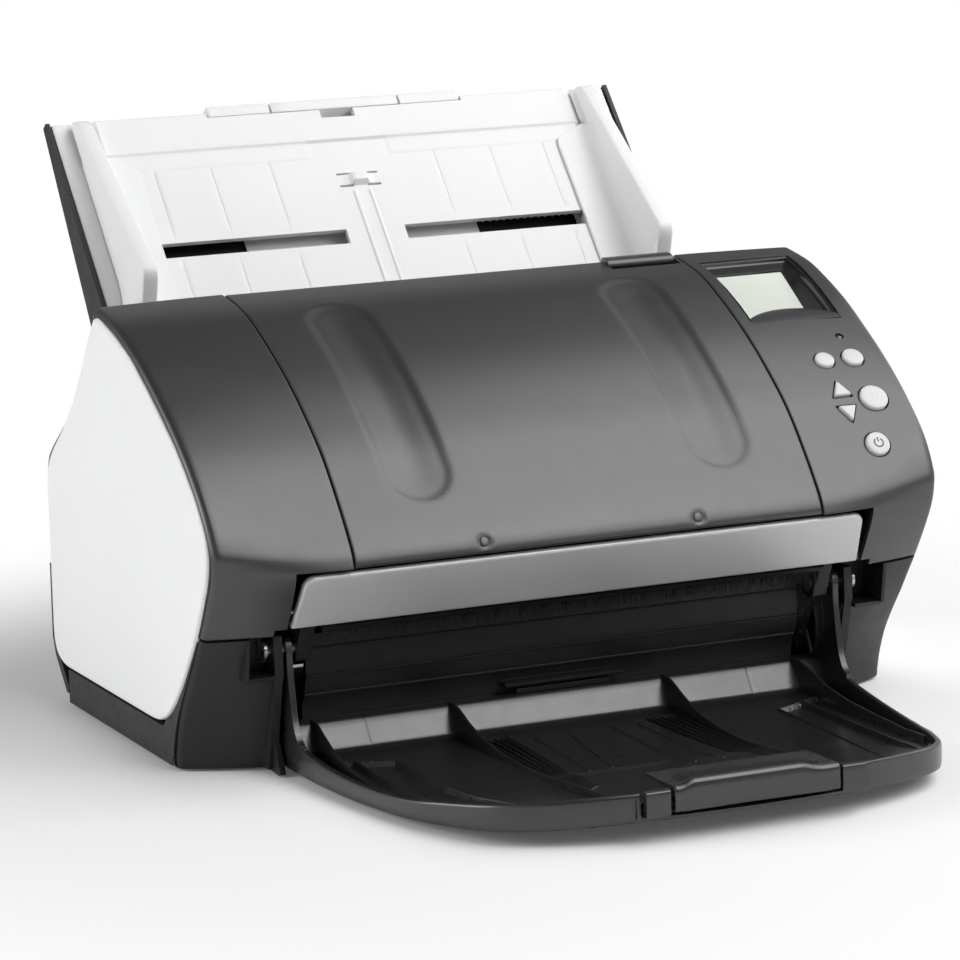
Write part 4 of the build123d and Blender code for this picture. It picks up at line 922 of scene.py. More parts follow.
# ------------------------------------------------------------------ white side panels
def panel_outline():
    """The panel's corners grown by 0.8 and rounded."""
    corners = np.array(SIDE_PANEL, float)
    n = len(corners)
    centre = np.array((10.0, 80.0))
    grown = []
    for i in range(n):
        before, here, after = corners[i - 1], corners[i], corners[(i + 1) % n]
        tangent = ((here - before) / np.linalg.norm(here - before)
                   + (after - here) / np.linalg.norm(after - here))
        tangent /= np.linalg.norm(tangent)
        normal = np.array((-tangent[1], tangent[0]))
        if (centre - here) @ normal < 0:
            normal = -normal
        grown.append(here + normal * 0.8)
    points = []
    for i in range(n):
        here = grown[i]
        ends = []
        for other in (grown[i - 1], grown[(i + 1) % n]):
            length = np.linalg.norm(other - here)
            ends.append(here + (other - here) / length * min(6.0, length * 0.42))
        for t in (0, 0.2, 0.4, 0.6, 0.8, 1.0):
            points.append((1 - t) ** 2 * ends[0] + 2 * t * (1 - t) * here + t * t * ends[1])
    return np.array(points)


def inset(outline, distance):
    tangents = np.roll(outline, -1, axis=0) - np.roll(outline, 1, axis=0)
    lengths = np.linalg.norm(tangents, axis=1, keepdims=True)
    tangents = tangents / np.where(lengths == 0, 1, lengths)
    normals = np.stack([-tangents[:, 1], tangents[:, 0]], -1)
    y, z = outline.T
    area = 0.5 * np.sum(y * np.roll(z, -1) - np.roll(y, -1) * z)
    return outline + normals * distance * (1 if area > 0 else -1)


def build_side_panels():
    outline = panel_outline()
    # inset, x
    levels = ((0.0, 145.95), (0.0, 148.3), (0.1, 148.75), (0.35, 149.15), (0.8, 149.4),
              (1.5, 149.5))
    for side, name in ((-1, "left"), (1, "right")):
        shell = Shell()
        shell.sweep([[(side * x, y, z) for y, z in inset(outline, distance)]
                     for distance, x in levels])
        make(name + "_panel_skin", shell, "white_panel", "base", name + "_side_panel",
             sharp=50)


# ------------------------------------------------------------------ base
def low_section(x, steps=5):
    """(y, z) section of a lower front corner, turned in underneath."""
    front = smooth(blended(LOW_CENTRE, LOW_SIDE, x), steps)
    y = front[-1][0]
    return np.array(front + [(y + 0.5, 0.75), (y + 1.6, 0.6), (y + 6, 0.6), (y + 14, 0.6)])


def base_corner():
    xs = edge_grid(CORNER_INNER, SIDE_OUTER, 1.8, SIDE_FINE, (130.6,))
    grid = section_grid(xs, low_section)
    normals = grid_normals(grid, (5, 3), FRONT)
    drop = roll(SIDE_OUTER - grid[:, :, 0], 2.6) + roll(grid[:, :, 0] - CORNER_INNER, 0.6)
    x, _, z = cell_centres(grid)
    half = Shell()
    half.sheet(grid - normals * drop[..., None], 2.0, normals, ~((x < 130.6) & (z > 38.6)))
    # outer side wall
    half.prism([(y + 2.4, z) for y, z in low_section(SIDE_OUTER, 3) if z > 1.5]
               + [(-38, 1.4), (74.0, 1.4), (74.0, 14.6), (-30, 14.6), (-46, 30),
                  (-60, 53.5)], 145.4, 148.05)
    # walls of the corner's upper inner notch: outer side, floor and back
    half.prism([(-76.0, 54.0), (-73.6, 38.4), (-60, 38.4), (-60, 54)], 130.6, 132.0)
    half.prism([(-73.0, 38.8), (-58, 38.8), (-58, 37.2), (-72.2, 37.2)], 119.8, 131.2)
    half.prism([(-60.0, 54), (-60.0, 37.2), (-58.6, 37.2), (-58.6, 54)], 119.8, 131.2)
    # upright web and low wedge foot at the inner end
    half.prism([(-62, 1.5), (-30, 1.5), (-40, 34), (-56.5, 53.0), (-70.5, 53.0),
                (-71.2, 41)], 116.1, 119.5)
    half.prism([(-57, 1.2), (-67.5, 0.3), (-69.2, 0.9), (-61.0, 19), (-55, 17)],
               CORNER_INNER + 0.1, 117.9)
    return half


def build_base():
    shell = Shell()
    corner = base_corner()
    for side in (-1, 1):
        shell.add_side(corner, side)
    shell.slab([(-146.4, -38), (-119, -52), (-102.5, -53.4), (102.5, -53.4), (119, -52),
                (146.4, -38), (146.4, 73.9), (-146.4, 73.9)], 1.7, 4.1)
    # wall below the paper outlet, with its ledges
    wall = smooth([(-58.2, 49.4), (-58.2, 41), (-58.2, 34.0), (-56.6, 28), (-53.4, 20.5),
                   (-53.4, 12), (-53.4, 3)], 4)
    shell.prism(wall + [(-51.2, 3), (-51.2, 20), (-55.9, 33.5), (-55.9, 49.4)],
                -102.2, 102.2)
    wall_y, wall_z = zip(*wall[::-1])
    for z, depth in ((44.0, 0.5), (33.8, 1.3), (26.0, 0.6), (8.8, 0.5)):
        y = np.interp(z, wall_z, wall_y)
        shell.prism([(y - depth, z - 0.25), (y - depth, z + 0.25), (y + 0.6, z + 0.6),
                     (y + 0.6, z - 0.6)], -102.0, 102.0)
    # two short plates low on the outlet wall
    shell.prism([(-58.6, 19.6), (-59.2, 20.6), (-58.0, 21.6), (-53.0, 21.6), (-53.0, 19.6)],
                -22, 27)
    shell.prism([(-57.4, 16.6), (-57.8, 18.6), (-52.8, 19.0), (-52.8, 16.6)], -17, 22)
    make("base_shell", shell, "black_casing", "base", "base_tray", sharp=40)


# ------------------------------------------------------------------ front strip
STRIP_TOP, STRIP_BOTTOM = (-90.7, 77.3), (-80.6, 57.1)     # (y, z)
STRIP_HEIGHT = math.hypot(STRIP_TOP[0] - STRIP_BOTTOM[0], STRIP_TOP[1] - STRIP_BOTTOM[1])


def strip_place(u, v, h):
    rise_y, rise_z = ((top - low) / STRIP_HEIGHT for top, low in zip(STRIP_TOP, STRIP_BOTTOM))
    mid_y, mid_z = ((top + low) / 2 for top, low in zip(STRIP_TOP, STRIP_BOTTOM))
    return (u, mid_y + v * rise_y - h * rise_z, mid_z + v * rise_z + h * rise_y)


def strip_outline(distance):
    """Outline inset by a distance: square lower corners, rounded upper ones."""
    low, high, half = 116.3 - distance, 114.5 - distance, STRIP_HEIGHT / 2 - distance
    radius = 4.6 - distance * 0.6
    points = [(-low + 0.4, -half), (low - 0.4, -half), (low, -half + 0.4)]
    for centre, start in ((high - radius, 0), (-high + radius, 90)):
        for k in range(9):
            angle = math.radians(start + 90 * k / 8)
            points.append((centre + radius * math.cos(angle),
                           half - radius + radius * math.sin(angle)))
    points.append((-low, -half + 0.4))
    return points


def build_front_strip():
    # inset, height
    levels = ((0.3, -2.6), (0.0, -2.2), (0.0, -1.1), (0.12, -0.62), (0.4, -0.28),
              (0.85, -0.08), (1.5, 0.0))
    shell = Shell()
    shell.sweep([[strip_place(u, v, h) for u, v in strip_outline(distance)]
                 for distance, h in levels])
    make("front_trim_strip", shell, "grey_strip", "front_unit", "front_strip", sharp=50)


def build_exit_brush():
    """Brush holder and separate tapering bristles of three sides each."""
    shell = Shell()
    shell.prism([(-79.0, 56.2), (-74.8, 59.2), (-73.4, 57.0), (-77.4, 54.6)], -103.0, 103.0)
    count = 1500
    radius = 0.13
    # share of the sideways lean, share of the lean in y, share of the radius, of the length
    levels = ((0, 0, 1, 0), (0.4, 0.35, 0.8, 0.5), (1, 1, 0.3, 1))
    for i in range(count):
        x = -102.4 + 204.8 * (i + rng.random()) / count
        y = -76.4 + rng.normal() * 0.55
        length = 5.2 + rng.normal() * 0.9 + (0.8 if rng.random() < 0.1 else 0)
        lean_x = rng.normal() * 0.5
        lean_y = rng.normal() * 0.35 + 0.9
        turn = rng.random() * 6.28
        angles = [turn + k * 2.094 for k in range(3)]
        shell.sweep([[(x + lean_x * share_x + radius * thin * math.cos(a),
                       y + lean_y * share_y + radius * thin * math.sin(a),
                       55.6 - length * down) for a in angles]
                     for share_x, share_y, thin, down in levels])
    make("exit_brush_bristles", shell, "brush_fibre", "front_unit", "exit_brush", sharp=60)


def build_release_tab():
    """Tab at the rear top edge with a round bar below it and five small ridges."""
    left, right = 64.1, 92.7
    shell = Shell()
    shell.prism(smooth([(29.0, 165.0), (26.2, 164.9), (24.2, 164.3), (23.3, 163.2),
                        (23.2, 161.6), (24.2, 160.4), (27.2, 157.6), (28.5, 150.2),
                        (30.9, 150.3), (30.4, 156.0), (30.2, 163.8)], 3), left, right)
    shell.sweep([[(x, 29.6 + y, 150.6 + z) for y, z in circle(2.2, 20)]
                 for x in (left, right)])
    ridge = ((24.9, 164.2), (24.0, 163.9), (23.25, 162.9), (23.2, 162.6), (24.4, 162.8),
             (25.4, 163.6))
    for k in range(5):
        start = 70.0 + k * 3.6
        shell.sweep([[(x, y, z) for y, z in ridge] for x in (start, start + 1.0)])
    make("release_tab", shell, "dark_cover", "release_lever", "release_lever", sharp=45,
         bevel=0.35)


# ------------------------------------------------------------------ paper chute
CHUTE_EDGE = 121.8     # half width
CHUTE_BOTTOM, CHUTE_TOP = -60, 68
# Extra grid stations at the edges of features: across (both signs) and along
CHUTE_ACROSS = [
    121.6, 121.2, 108.6, 108.4, 106.3, 106.0, 103.6, 103.2, 102.8, 98.6, 98.5, 92.0, 86.0,
    85.6, 85.2, 61.8, 61.4, 61.0, 56.5, 56.2, 36.6, 36.2, 35.8, 17.6, 17.0, 12.7, 12.5, 9.2,
    9.0, 7.8, 7.4, 4.3, 4.0, 3.2, 3.0, 2.6]
CHUTE_ALONG = [
    -59.8, -59.4, -37.2, -37.0, 0.2, 0.5, 7.1, 7.4, 9.5, 26.0, 27.6, 28.0, 28.6, 29.5, 33.0,
    33.5, 34.4, 34.5, 42.2, 42.5, 42.8, 49.8, 50.2, 50.6, 51.0, 61.4, 61.7, 65.2, 65.5, 67.0,
    67.5, 67.8]


def chute_relief(x, s):
    """Height of the chute's paper face: steps, grooves, ribs and a central hook."""
    across = np.abs(x)
    height = 1.1 * smoothstep(49.8, 51.0, s) * (across < 106)
    height += (0.25 * smoothstep(42.2, 42.8, s) * (1 - smoothstep(49.8, 51.0, s))
               * (across < 106) * (across > 17.3))
    for groove in (-85.6, -61.4, -36.2, 36.2, 61.4, 85.6):
        height -= (0.22 * smoothstep(0.45, 0.15, np.abs(x - groove))
                   * (((s > 9.5) & (s < 42)) | ((s < -2) & (s > -33))))
    for rib in (-3.4, 3.4):
        height += 0.55 * smoothstep(0.9, 0.5, np.abs(x - rib)) * (s < 26) * (s > -30)
    height += (2.6 * smoothstep(4.9, 2.6, across) * smoothstep(28.0, 29.5, s)
               * smoothstep(34.4, 33.0, s))
    for rib in (-103.2, 103.2):
        height += 0.3 * smoothstep(0.6, 0.3, np.abs(x - rib)) * (s > 48)
    return height


def build_chute():
    sides = np.array(CHUTE_ACROSS)
    xs = np.unique(np.round(np.concatenate(
        [np.linspace(-CHUTE_EDGE, CHUTE_EDGE, 96), sides, -sides]), 3))
    stations = np.unique(np.round(np.concatenate(
        [np.linspace(CHUTE_BOTTOM, CHUTE_TOP, 60), CHUTE_ALONG]), 3))
    across, along = np.meshgrid(xs, stations, indexing="ij")
    relief = (chute_relief(across, along)
              - roll(np.minimum(across + CHUTE_EDGE, CHUTE_EDGE - across), 0.6)
              - roll(CHUTE_TOP - along, 0.8))
    grid = np.stack(chute_place(across, along, relief), -1)
    normals = np.zeros_like(grid)
    normals[:, :, 1], normals[:, :, 2] = -CHUTE_SLOPE[1], CHUTE_SLOPE[0]

    x, s = np.meshgrid((xs[1:] + xs[:-1]) / 2, (stations[1:] + stations[:-1]) / 2,
                       indexing="ij")
    x = np.abs(x)
    openings = (
        ((x > 12.6) & (x < 98.5) & (s > 0.35) & (s < 7.25))      # slots of the side guides
        | ((x < 56.35) & (s > 65.35))                            # notch for the extension grips
        | ((x < 7.6) & (s > 61.5))                               # deeper notch at its middle
        | ((x > 108.5) & (s < -37.1))                            # lower outer corners
        | ((x > 3.0) & (x < 9.1)                                 # short slits by the hook
           & (((s > 33.5) & (s < 34.45)) | ((s > 27.6) & (s < 28.6)))))
    shell = Shell()
    shell.sheet(grid, relief + 2.2, normals, ~openings)
    for x0, x1 in ((-53.0, -8.0), (12.8, 49.0)):
        chute_bar(shell, rectangle(-0.5, 12.0, -9.6, -9.1), x0, x1)
    make("chute_face", shell, "chute_white", "base", "chute_panel", sharp=30)


def build_chute_extension_outer():
    shell = Shell()
    for x0, x1, top in ((-54.4, -28.6, 65.8), (28.6, 54.4, 65.8), (-28.6, 28.6, 59.8)):
        chute_bar(shell, rectangle(18.2, top, -4.35, -2.8), x0, x1)
    # grips at both sides of the top edge, each with three ridges
    grip = [(65.7, -6.4), (70.6, -6.4), (71.0, -6.0), (71.0, 0.4), (70.6, 1.2), (69.6, 1.4),
            (67.0, 1.4), (65.9, 1.1), (65.7, 0.4)]
    mid_s, mid_n = 68.3, -2.5
    ridge = ((70.8, -4), (71.35, -3.6), (71.35, -0.4), (70.8, 0))
    for side in (-1, 1):
        shell.sweep([[chute_place(side * x, mid_s + (s - mid_s) * scale,
                                  mid_n + (n - mid_n) * scale) for s, n in grip]
                     for x, scale in ((28.8, 0.94), (29.1, 1.0), (54.8, 1.0), (55.4, 0.9))])
        for k in range(3):
            x = 36 + k * 6.5
            chute_bar(shell, ridge, side * x, side * (x + 0.9))
    make("chute_grip_outer", shell, "chute_white", "chute_extension_1", "chute_extension_1",
         sharp=42, bevel=0.25)


def build_chute_extension_centre():
    shell = Shell()
    chute_bar(shell, rectangle(19.2, 70.6, -6.55, -4.75), -27.5, 27.5)
    half = [27.9, 27.7, 27.2, 20, 12.2, 11.0, 9.8, 8.8, 7, 3.5]
    rings = []
    for x in [-v for v in half] + [0] + half[::-1]:
        trim = 0.25 if abs(x) > 27.5 else 0.0
        s, n = 71.0 - trim, 1.4 - trim
        grip = ((65.7 + trim, -6.4), (s - 0.4, -6.4), (s, -6.0), (s, n - 1.0),
                (s - 0.4, n - 0.2), (s - 1.2, n), (66.6, n), (65.9 + trim, n - 0.3))
        rings.append([chute_place(x, along, out) for along, out in grip])
    shell.sweep(rings)
    make("chute_grip_centre", shell, "chute_white", "chute_extension_2", "chute_extension_2",
         sharp=42)


# ------------------------------------------------------------------ side guides
# (along, height) of the guide's wall
GUIDE_WALL = [
    (-39.6, 1.9), (-36, 6.5), (-31.5, 13.6), (-27, 20.5), (-23.6, 25.4), (-21.6, 27.0),
    (-19.6, 27.4), (-17, 26.9), (10, 20.6), (40, 13.6), (58, 9.4), (62.4, 7.9), (64.6, 6.3),
    (65.7, 4.3), (66.0, 2.2)]
FLANGE_INNER = 92.2    # x of the flange's inner edge
RACK_PITCH = math.pi
RACK_DEPTH = 4.0


def quarter_round(t):
    return 1 - math.sqrt(max(0, 1 - t * t))


def guide_section(s):
    """(x, out) ring: flange, concave fillet and wall, at a place along the chute."""
    height = float(np.interp(s, *zip(*GUIDE_WALL)))
    flare = 3.0 * float(smoothstep(-8, -34, s))
    edge = FLANGE_INNER
    if s > 41:      # the flange ends in a rounded notch
        edge += (105.5 - FLANGE_INNER) * quarter_round(min(1.0, (s - 41) / 6.0))
    if s < -36:
        edge += 5.0 * quarter_round((-36 - s) / 3.6)
    low, flange, radius = (0.42, 1.6, 6.2) if s < 46 else (1.72, 1.75, 1.4)
    flange = min(flange, height)
    ring = [(edge, low), (edge, max(low + 0.02, flange - 0.35)), (edge + 0.35, flange),
            (max(edge + 0.8, 101.0), flange + 0.02)]
    start = ring[-1][0]
    for k in range(7):
        angle = math.radians(90 * k / 6)
        x = 108.0 - radius + radius * math.sin(angle)
        out = flange + 0.04 + radius * (1 - math.cos(angle))
        ring.append((max(x, start + 0.05 * (k + 1)), min(out, height - 0.9 + 0.02 * k)))
    return ring + [
        (108.05, max(height - 0.8, flange + 0.1)), (108.3, height - 0.3), (108.9, height),
        (113.4, height), (114.0, height - 0.3), (114.3, max(height - 0.9, low + 0.3)),
        (114.35 + flare, low + 0.2), (114.35 + flare, low)]


def rack_teeth(x0, x1, direction, edge):
    points = []
    k = math.ceil((x0 - RACK_PITCH / 2) / RACK_PITCH)
    while RACK_PITCH / 2 + k * RACK_PITCH < x1:
        x = RACK_PITCH / 2 + k * RACK_PITCH
        if x - 1.3 > x0 and x + 1.3 < x1:
            tip = edge + direction * 1.75
            points += [(x - 0.95, edge), (x - 0.28, tip), (x + 0.28, tip), (x + 0.95, edge)]
        k += 1
    return points


def build_side_guides():
    stations = [*np.linspace(-39.6, -14, 22), *np.linspace(-12, 58, 24),
                60, 61.5, 62.6, 63.6, 64.4, 65.0, 65.5, 65.8, 66.0]
    for side, name in ((-1, "left"), (1, "right")):
        shell = Shell()
        shell.sweep([[chute_place(side * x, s, n) for x, n in guide_section(s)]
                     for s in stations])
        # foot through the slot, arm and toothed rack
        edge = 3.8 + side * 9.05
        back = edge + side * RACK_DEPTH
        x0, x1 = (-97.4, 13.0) if side < 0 else (-13.0, 97.4)
        chute_bar(shell, rectangle(1.0, 6.6, -6.0, 1.0), side * 93.0, side * 97.4)
        chute_bar(shell, rectangle(min(edge, back, 1.0), max(edge, back, 6.6), -8.95, -5.65),
                  side * 93.05, side * 97.35)
        teeth = rack_teeth(x0 + 0.2, x1 - 0.2, -side, edge)
        shell.slab([(x0, back), (x0, edge)] + teeth + [(x1, edge), (x1, back)],
                   -8.9, -5.7, chute_place)
        make(name + "_guide_body", shell, "chute_white", name + "_guide",
             name + "_side_guide", sharp=38)


# ------------------------------------------------------------------ output tray
# Right half of the rim (x, y, z of its top), from the rear round to the front centre
RIM_REAR = [(114.2, -53.6, 17.2), (114.2, -56.0, 17.0), (114.2, -58.5, 16.7)]
RIM_CURVE = [
    (114.2, -61.0, 16.2), (113.2, -86.4, 11.2), (110.6, -115.1, 9.0), (105.6, -145.9, 9.2),
    (98.8, -168.6, 11.6), (85.0, -195.2, 15.0), (60.0, -208.8, 17.0), (32.7, -215.2, 18.0),
    (0.0, -217.0, 18.6)]
RIM_HALF = RIM_REAR + smooth(RIM_CURVE, 12)
# Rim section, outer foot over the top to inner foot:
# inset, share of the top's height (the rest is the underside's), offset
RIM_ROWS = [
    (1.1, 0, 0.1), (0.45, 0, 0.5), (0.15, 0, 1.3), (0.0, 0, 2.6), (0.0, 0.5, 0.8),
    (0.04, 1, -1.2), (0.16, 1, -0.55), (0.45, 1, -0.14), (0.8, 1, 0.0), (1.9, 1, 0.0),
    (2.25, 1, -0.14), (2.5, 1, -0.55), (2.6, 1, -1.4), (2.7, 0, 1.6), (2.7, 0, 0.1)]
RIM_GAP = (43.72, 43.64)      # x just either side of the opening for the sliding parts

# Tables read by forward(): distances forward (-y), then the values there
UNDERSIDE = ([53.6, 57.2, 60.4, 64, 80, 95, 120, 150, 180, 205, 218],
             [13.0, 11.6, 3.2, 2.0, 1.6, 1.4, 1.4, 2.0, 3.6, 6.0, 8.0])
# x of the curved blades, outermost first, and of the inner pocket's two edges
BLADE_1 = ([55, 63, 71, 82, 95, 115, 135, 158, 175],
           [99.6, 100.4, 101.2, 101.9, 102.6, 103.2, 102.2, 98.6, 94.0])
BLADE_2 = ([80, 100, 119, 135, 150, 172, 190], [92.4, 92.8, 92.9, 92.6, 91.6, 88.4, 84.0])
BLADE_3 = ([84, 107, 130, 150, 176, 196], [78.6, 78.9, 78.2, 76.2, 71.0, 64.5])
POCKET_INNER = ([70, 85, 105, 125, 145, 165], [29.0, 29.4, 30.4, 32.2, 34.6, 37.6])
DIVIDER = ([53, 74, 95, 115, 149, 178, 200, 214],
           [44.4, 44.3, 43.8, 43.4, 43.6, 44.6, 45.2, 45.4])
# z of the paper surface: in general, between the dividers, outside the outer blades
FLOOR_Z = ([53.6, 56.6, 58.0, 59.4, 64.4, 66.0, 68.2, 72, 80, 110, 130, 150, 165, 180, 195,
            205, 216],
           [16.7, 16.55, 15.8, 14.0, 6.6, 5.5, 5.0, 4.9, 4.9, 4.9, 5.1, 5.9, 7.3, 9.2, 11.6,
            13.2, 14.6])
MIDDLE_Z = ([120, 134, 139, 147, 165, 180, 195, 205, 216],
            [4.9, 5.1, 6.1, 7.75, 9.0, 10.2, 11.4, 12.2, 13.0])
OUTER_Z = ([53.6, 62.0, 63.0, 70.0, 76.0, 84, 100, 130, 150, 170],
           [16.7, 16.1, 15.2, 7.4, 4.6, 3.7, 3.4, 4.4, 6.4, 9.6])
POCKET_DEPTH = ([68, 128, 142, 148, 185], [1.7, 1.7, 1.2, 0.7, 0.6])
# z of the tops of the dividers, outer blades, other blades and pocket ribs
DIVIDER_Z = ([54.8, 56.5, 60, 64, 68, 73, 78, 83, 90, 98, 109, 125, 142, 155, 170, 190, 206],
             [16.6, 16.9, 16.8, 16.3, 15.0, 12.9, 11.2, 9.9, 8.5, 7.4, 6.7, 6.5, 7.4, 8.8,
              10.2, 12.2, 13.6])
BLADE_1_Z = ([56, 63, 71, 82, 95, 115, 140, 166], [17.0, 16.8, 14.4, 10.8, 8.4, 7.0, 7.0, 10.2])
BLADE_Z = ([78, 110, 130, 150, 165, 180, 195], [5.5, 5.5, 5.7, 6.5, 7.9, 9.7, 12.1])
RIB_Z = ([70, 120, 134, 147, 165, 184], [5.35, 5.35, 5.7, 8.15, 9.35, 10.7])


def forward(table, y):
    return np.interp(-y, *table)


def tray_half_width(y):
    rim = np.array(RIM_HALF)
    return float(np.interp(-y, -rim[:, 1], rim[:, 0]))


def floor_height(x, y):
    """Paper surface: rear slope, pockets between the blades, and a rise to the front."""
    across = np.abs(x)
    soft = 1.1      # width over which a pocket's side falls
    z = forward(FLOOR_Z, y)
    middle = smoothstep(45.2, 44.2, across) * (y < -120)
    z = z * (1 - middle) + forward(MIDDLE_Z, y) * middle
    z = z - 0.22 * smoothstep(0.5, 0.15, np.abs(across - 80.0)) * (y > -66)
    z = z + 0.9 * smoothstep(94, 106, across) * smoothstep(-140, -190, y)

    def between(inner, outer):
        return (smoothstep(inner, inner + soft, across)
                * smoothstep(outer - 0.6, outer - 0.6 - soft, across))

    blade_1, blade_2, blade_3 = (forward(t, y) for t in (BLADE_1, BLADE_2, BLADE_3))
    start = -86.5 + (across - 78.0) * 0.42
    pocket = between(blade_3 + 0.6, blade_2)
    z = z - 1.7 * (pocket * smoothstep(start, start - 0.9, y) * smoothstep(-184, -140, y))
    start = -80.0 + (across - 92.0) * 0.42
    pocket = between(blade_2 + 0.6, blade_1)
    z = z - 1.6 * (pocket * smoothstep(start, start - 0.9, y) * smoothstep(-170, -130, y))
    outside = smoothstep(blade_1 + 0.5, blade_1 + 0.5 + soft, across)
    z = z * (1 - outside) + np.minimum(z, forward(OUTER_Z, y)) * outside
    start = -70.0 - (across - 28.0) * 0.15
    pocket = between(forward(POCKET_INNER, y) - soft, forward(DIVIDER, y))
    pocket = pocket * smoothstep(start, start - 4.5, y) * smoothstep(-172, -150, y)
    return z - forward(POCKET_DEPTH, y) * pocket


def add_rail(shell, points, width, depth=0.9):
    """A thin upright rib through (x, y, z of its top), sunk depth into the paper surface."""
    path = [np.array(point, float) for point in smooth(points, 3)]
    half = width / 2
    r = min(0.3, half * 0.7)
    rings = []
    for i, (x, y, z) in enumerate(path):
        before, after = neighbours(path, i)
        tangent = (after - before)[:2]
        tangent = tangent / np.linalg.norm(tangent)
        low = float(floor_height(x, y)) - depth
        z = max(z, low + depth + 0.02)
        side = [(half * 1.3, low), (half, z - r), (half - r * 0.35, z - r * 0.3),
                (half - r, z)]
        section = [(-u, height) for u, height in side] + side[::-1]
        rings.append([(x - tangent[1] * u, y + tangent[0] * u, height)
                      for u, height in section])
    shell.sweep(rings)


def add_skin(shell, ys, xs_at, top, thickness):
    """A level sheet with its xs given for each y and its top by top(x, y)."""
    xs = np.array([xs_at(y) for y in ys]).T
    grid = np.stack([xs, np.broadcast_to(ys, xs.shape), np.zeros(xs.shape)], -1)
    grid[:, :, 2] = top(grid[:, :, 0], grid[:, :, 1])
    normals = np.zeros_like(grid)
    normals[:, :, 2] = 1.0
    shell.sheet(grid, thickness, normals)


def add_rim(shell):
    """One closed wall round the tray, lowered where the sliding parts come through."""
    half = []
    for here, ahead in zip(RIM_HALF, RIM_HALF[1:]):
        half.append(here)
        for x in RIM_GAP:
            if here[0] > x > ahead[0]:
                t = (here[0] - x) / (here[0] - ahead[0])
                half.append(tuple(p + (q - p) * t for p, q in zip(here, ahead)))
    line = np.array(half + [RIM_HALF[-1]] + [(-x, y, z) for x, y, z in reversed(half)])
    tangents = np.gradient(line[:, :2], axis=0)
    tangents /= np.linalg.norm(tangents, axis=1, keepdims=True)
    rings = []
    for (x, y, top), (run, rise) in zip(line, tangents):
        low = forward(UNDERSIDE, y)
        ring = []
        for distance, share, offset in RIM_ROWS:
            z = top * share + low * (1 - share) + offset
            if abs(x) < 43.68:
                z = min(z, 9.05 - 0.002 * distance)
            ring.append((x + rise * distance,
                         min(y - run * distance, -53.6 - 0.001 * distance), z))
        rings.append(ring)
    shell.sweep(rings)


def add_paper_surface(shell):
    ys = np.concatenate([np.arange(-53.8, -70.0, -0.45), np.arange(-70.0, -90, -0.6),
                         np.arange(-90, -205.0, -1.1), [-205.0]])
    spread = np.linspace(-1, 1, 420)
    add_skin(shell, ys, lambda y: spread * (tray_half_width(y) - 2.3), floor_height, 0.6)

    # front pieces on both sides of the slide opening
    front_ys = np.concatenate([[-205.0], np.arange(-206, -214.6, -0.9)])
    share = np.linspace(0, 1, 60)
    for side in (-1, 1):
        def front_xs(y):
            return np.sort(side * (44.0 + share * max(0.6, tray_half_width(y) - 2.3 - 44.0)))

        add_skin(shell, front_ys, front_xs,
                 lambda x, y: np.minimum(floor_height(x, y), 15.2), 0.8)
        # cheeks beside the opening
        shell.prism([(-205.0, 7.6), (-205.0, 14.5), (-214.2, 15.6), (-214.6, 9.4)],
                    side * 43.75, side * 45.3)
        shell.prism([(-148.0, 3.0), (-148.0, 7.0), (-205.2, 13.6), (-205.2, 7.6)],
                    side * 43.75, side * 44.9)


def add_blades(shell):
    divider_ys = [*np.arange(-55, -98, -3.0), *np.arange(-98, -205, -9.0), -204.6]
    outer_ys = [*np.arange(-56.5, -98, -4.0), *np.arange(-98, -160, -9.0), -165.0]
    # ys, x table, z table, width, depth
    blades = (
        (divider_ys, DIVIDER, DIVIDER_Z, 1.3, 0.5),
        (outer_ys, BLADE_1, BLADE_1_Z, 1.2, 0.9),
        (np.linspace(-79.6, -176.0, 13), BLADE_2, BLADE_Z, 1.2, 0.9),
        (np.linspace(-85.8, -184.0, 13), BLADE_3, BLADE_Z, 1.2, 0.9))
    for side in (-1, 1):
        for ys, x_table, z_table, width, depth in blades:
            add_rail(shell, [(side * forward(x_table, y), y, forward(z_table, y))
                             for y in ys], width, depth)
        for k in range(5):      # ribs fanned across the inner pocket
            points = []
            for t in np.linspace(0, 1, 13):
                x = 30.4 + k * 2.75 + (7.4 - k * 1.55) * t ** 1.7
                y = -70.8 - (x - 28.0) * 0.15 - t * (96.0 + k)
                points.append((side * x, y, forward(RIB_Z, y) - (1.1 if t == 0 else 0.0)))
            add_rail(shell, points, 0.75, 0.5)
        # lips at the slanted start of the outer pockets
        for lip in (((79.6, -85.4, 5.15), (86, -82.6, 5.2), (92.0, -79.6, 5.2)),
                    ((93.2, -79.0, 5.2), (101.2, -75.6, 5.3))):
            add_rail(shell, [(side * x, y, z) for x, y, z in lip], 0.5, 0.4)
    # low ribs along the middle: start x, end x, start y, end y
    for x0, x1, y0, y1 in ((-6.0, -14.5, -80, -133), (12.2, 10.6, -79, -150),
                           (22.5, 22.0, -79, -150), (-20.5, -23.5, -80, -133)):
        points = []
        for t in np.linspace(0, 1, 9):
            x, y = x0 + (x1 - x0) * t, y0 + (y1 - y0) * t
            points.append((x, y, float(floor_height(x, y)) + 0.35))
        add_rail(shell, points, 0.55, 0.4)


def add_underside(shell):
    spread = np.linspace(-1, 1, 24)
    ys = np.array([-53.8, -57, -60, -65, -70, -75, -80, -87, -95, -107, -120, -135, -150,
                   -165, -180, -192, -205, -213.5])
    add_skin(shell, ys, lambda y: spread * max(6.0, tray_half_width(y) - 1.4),
             lambda x, y: forward(UNDERSIDE, y) + 1.25, 1.15)
    # rear edge
    shell.prism([(-53.7, 13.95), (-53.7, 16.7), (-55.0, 16.6), (-55.0, 13.4)], -112.0, 112.0)


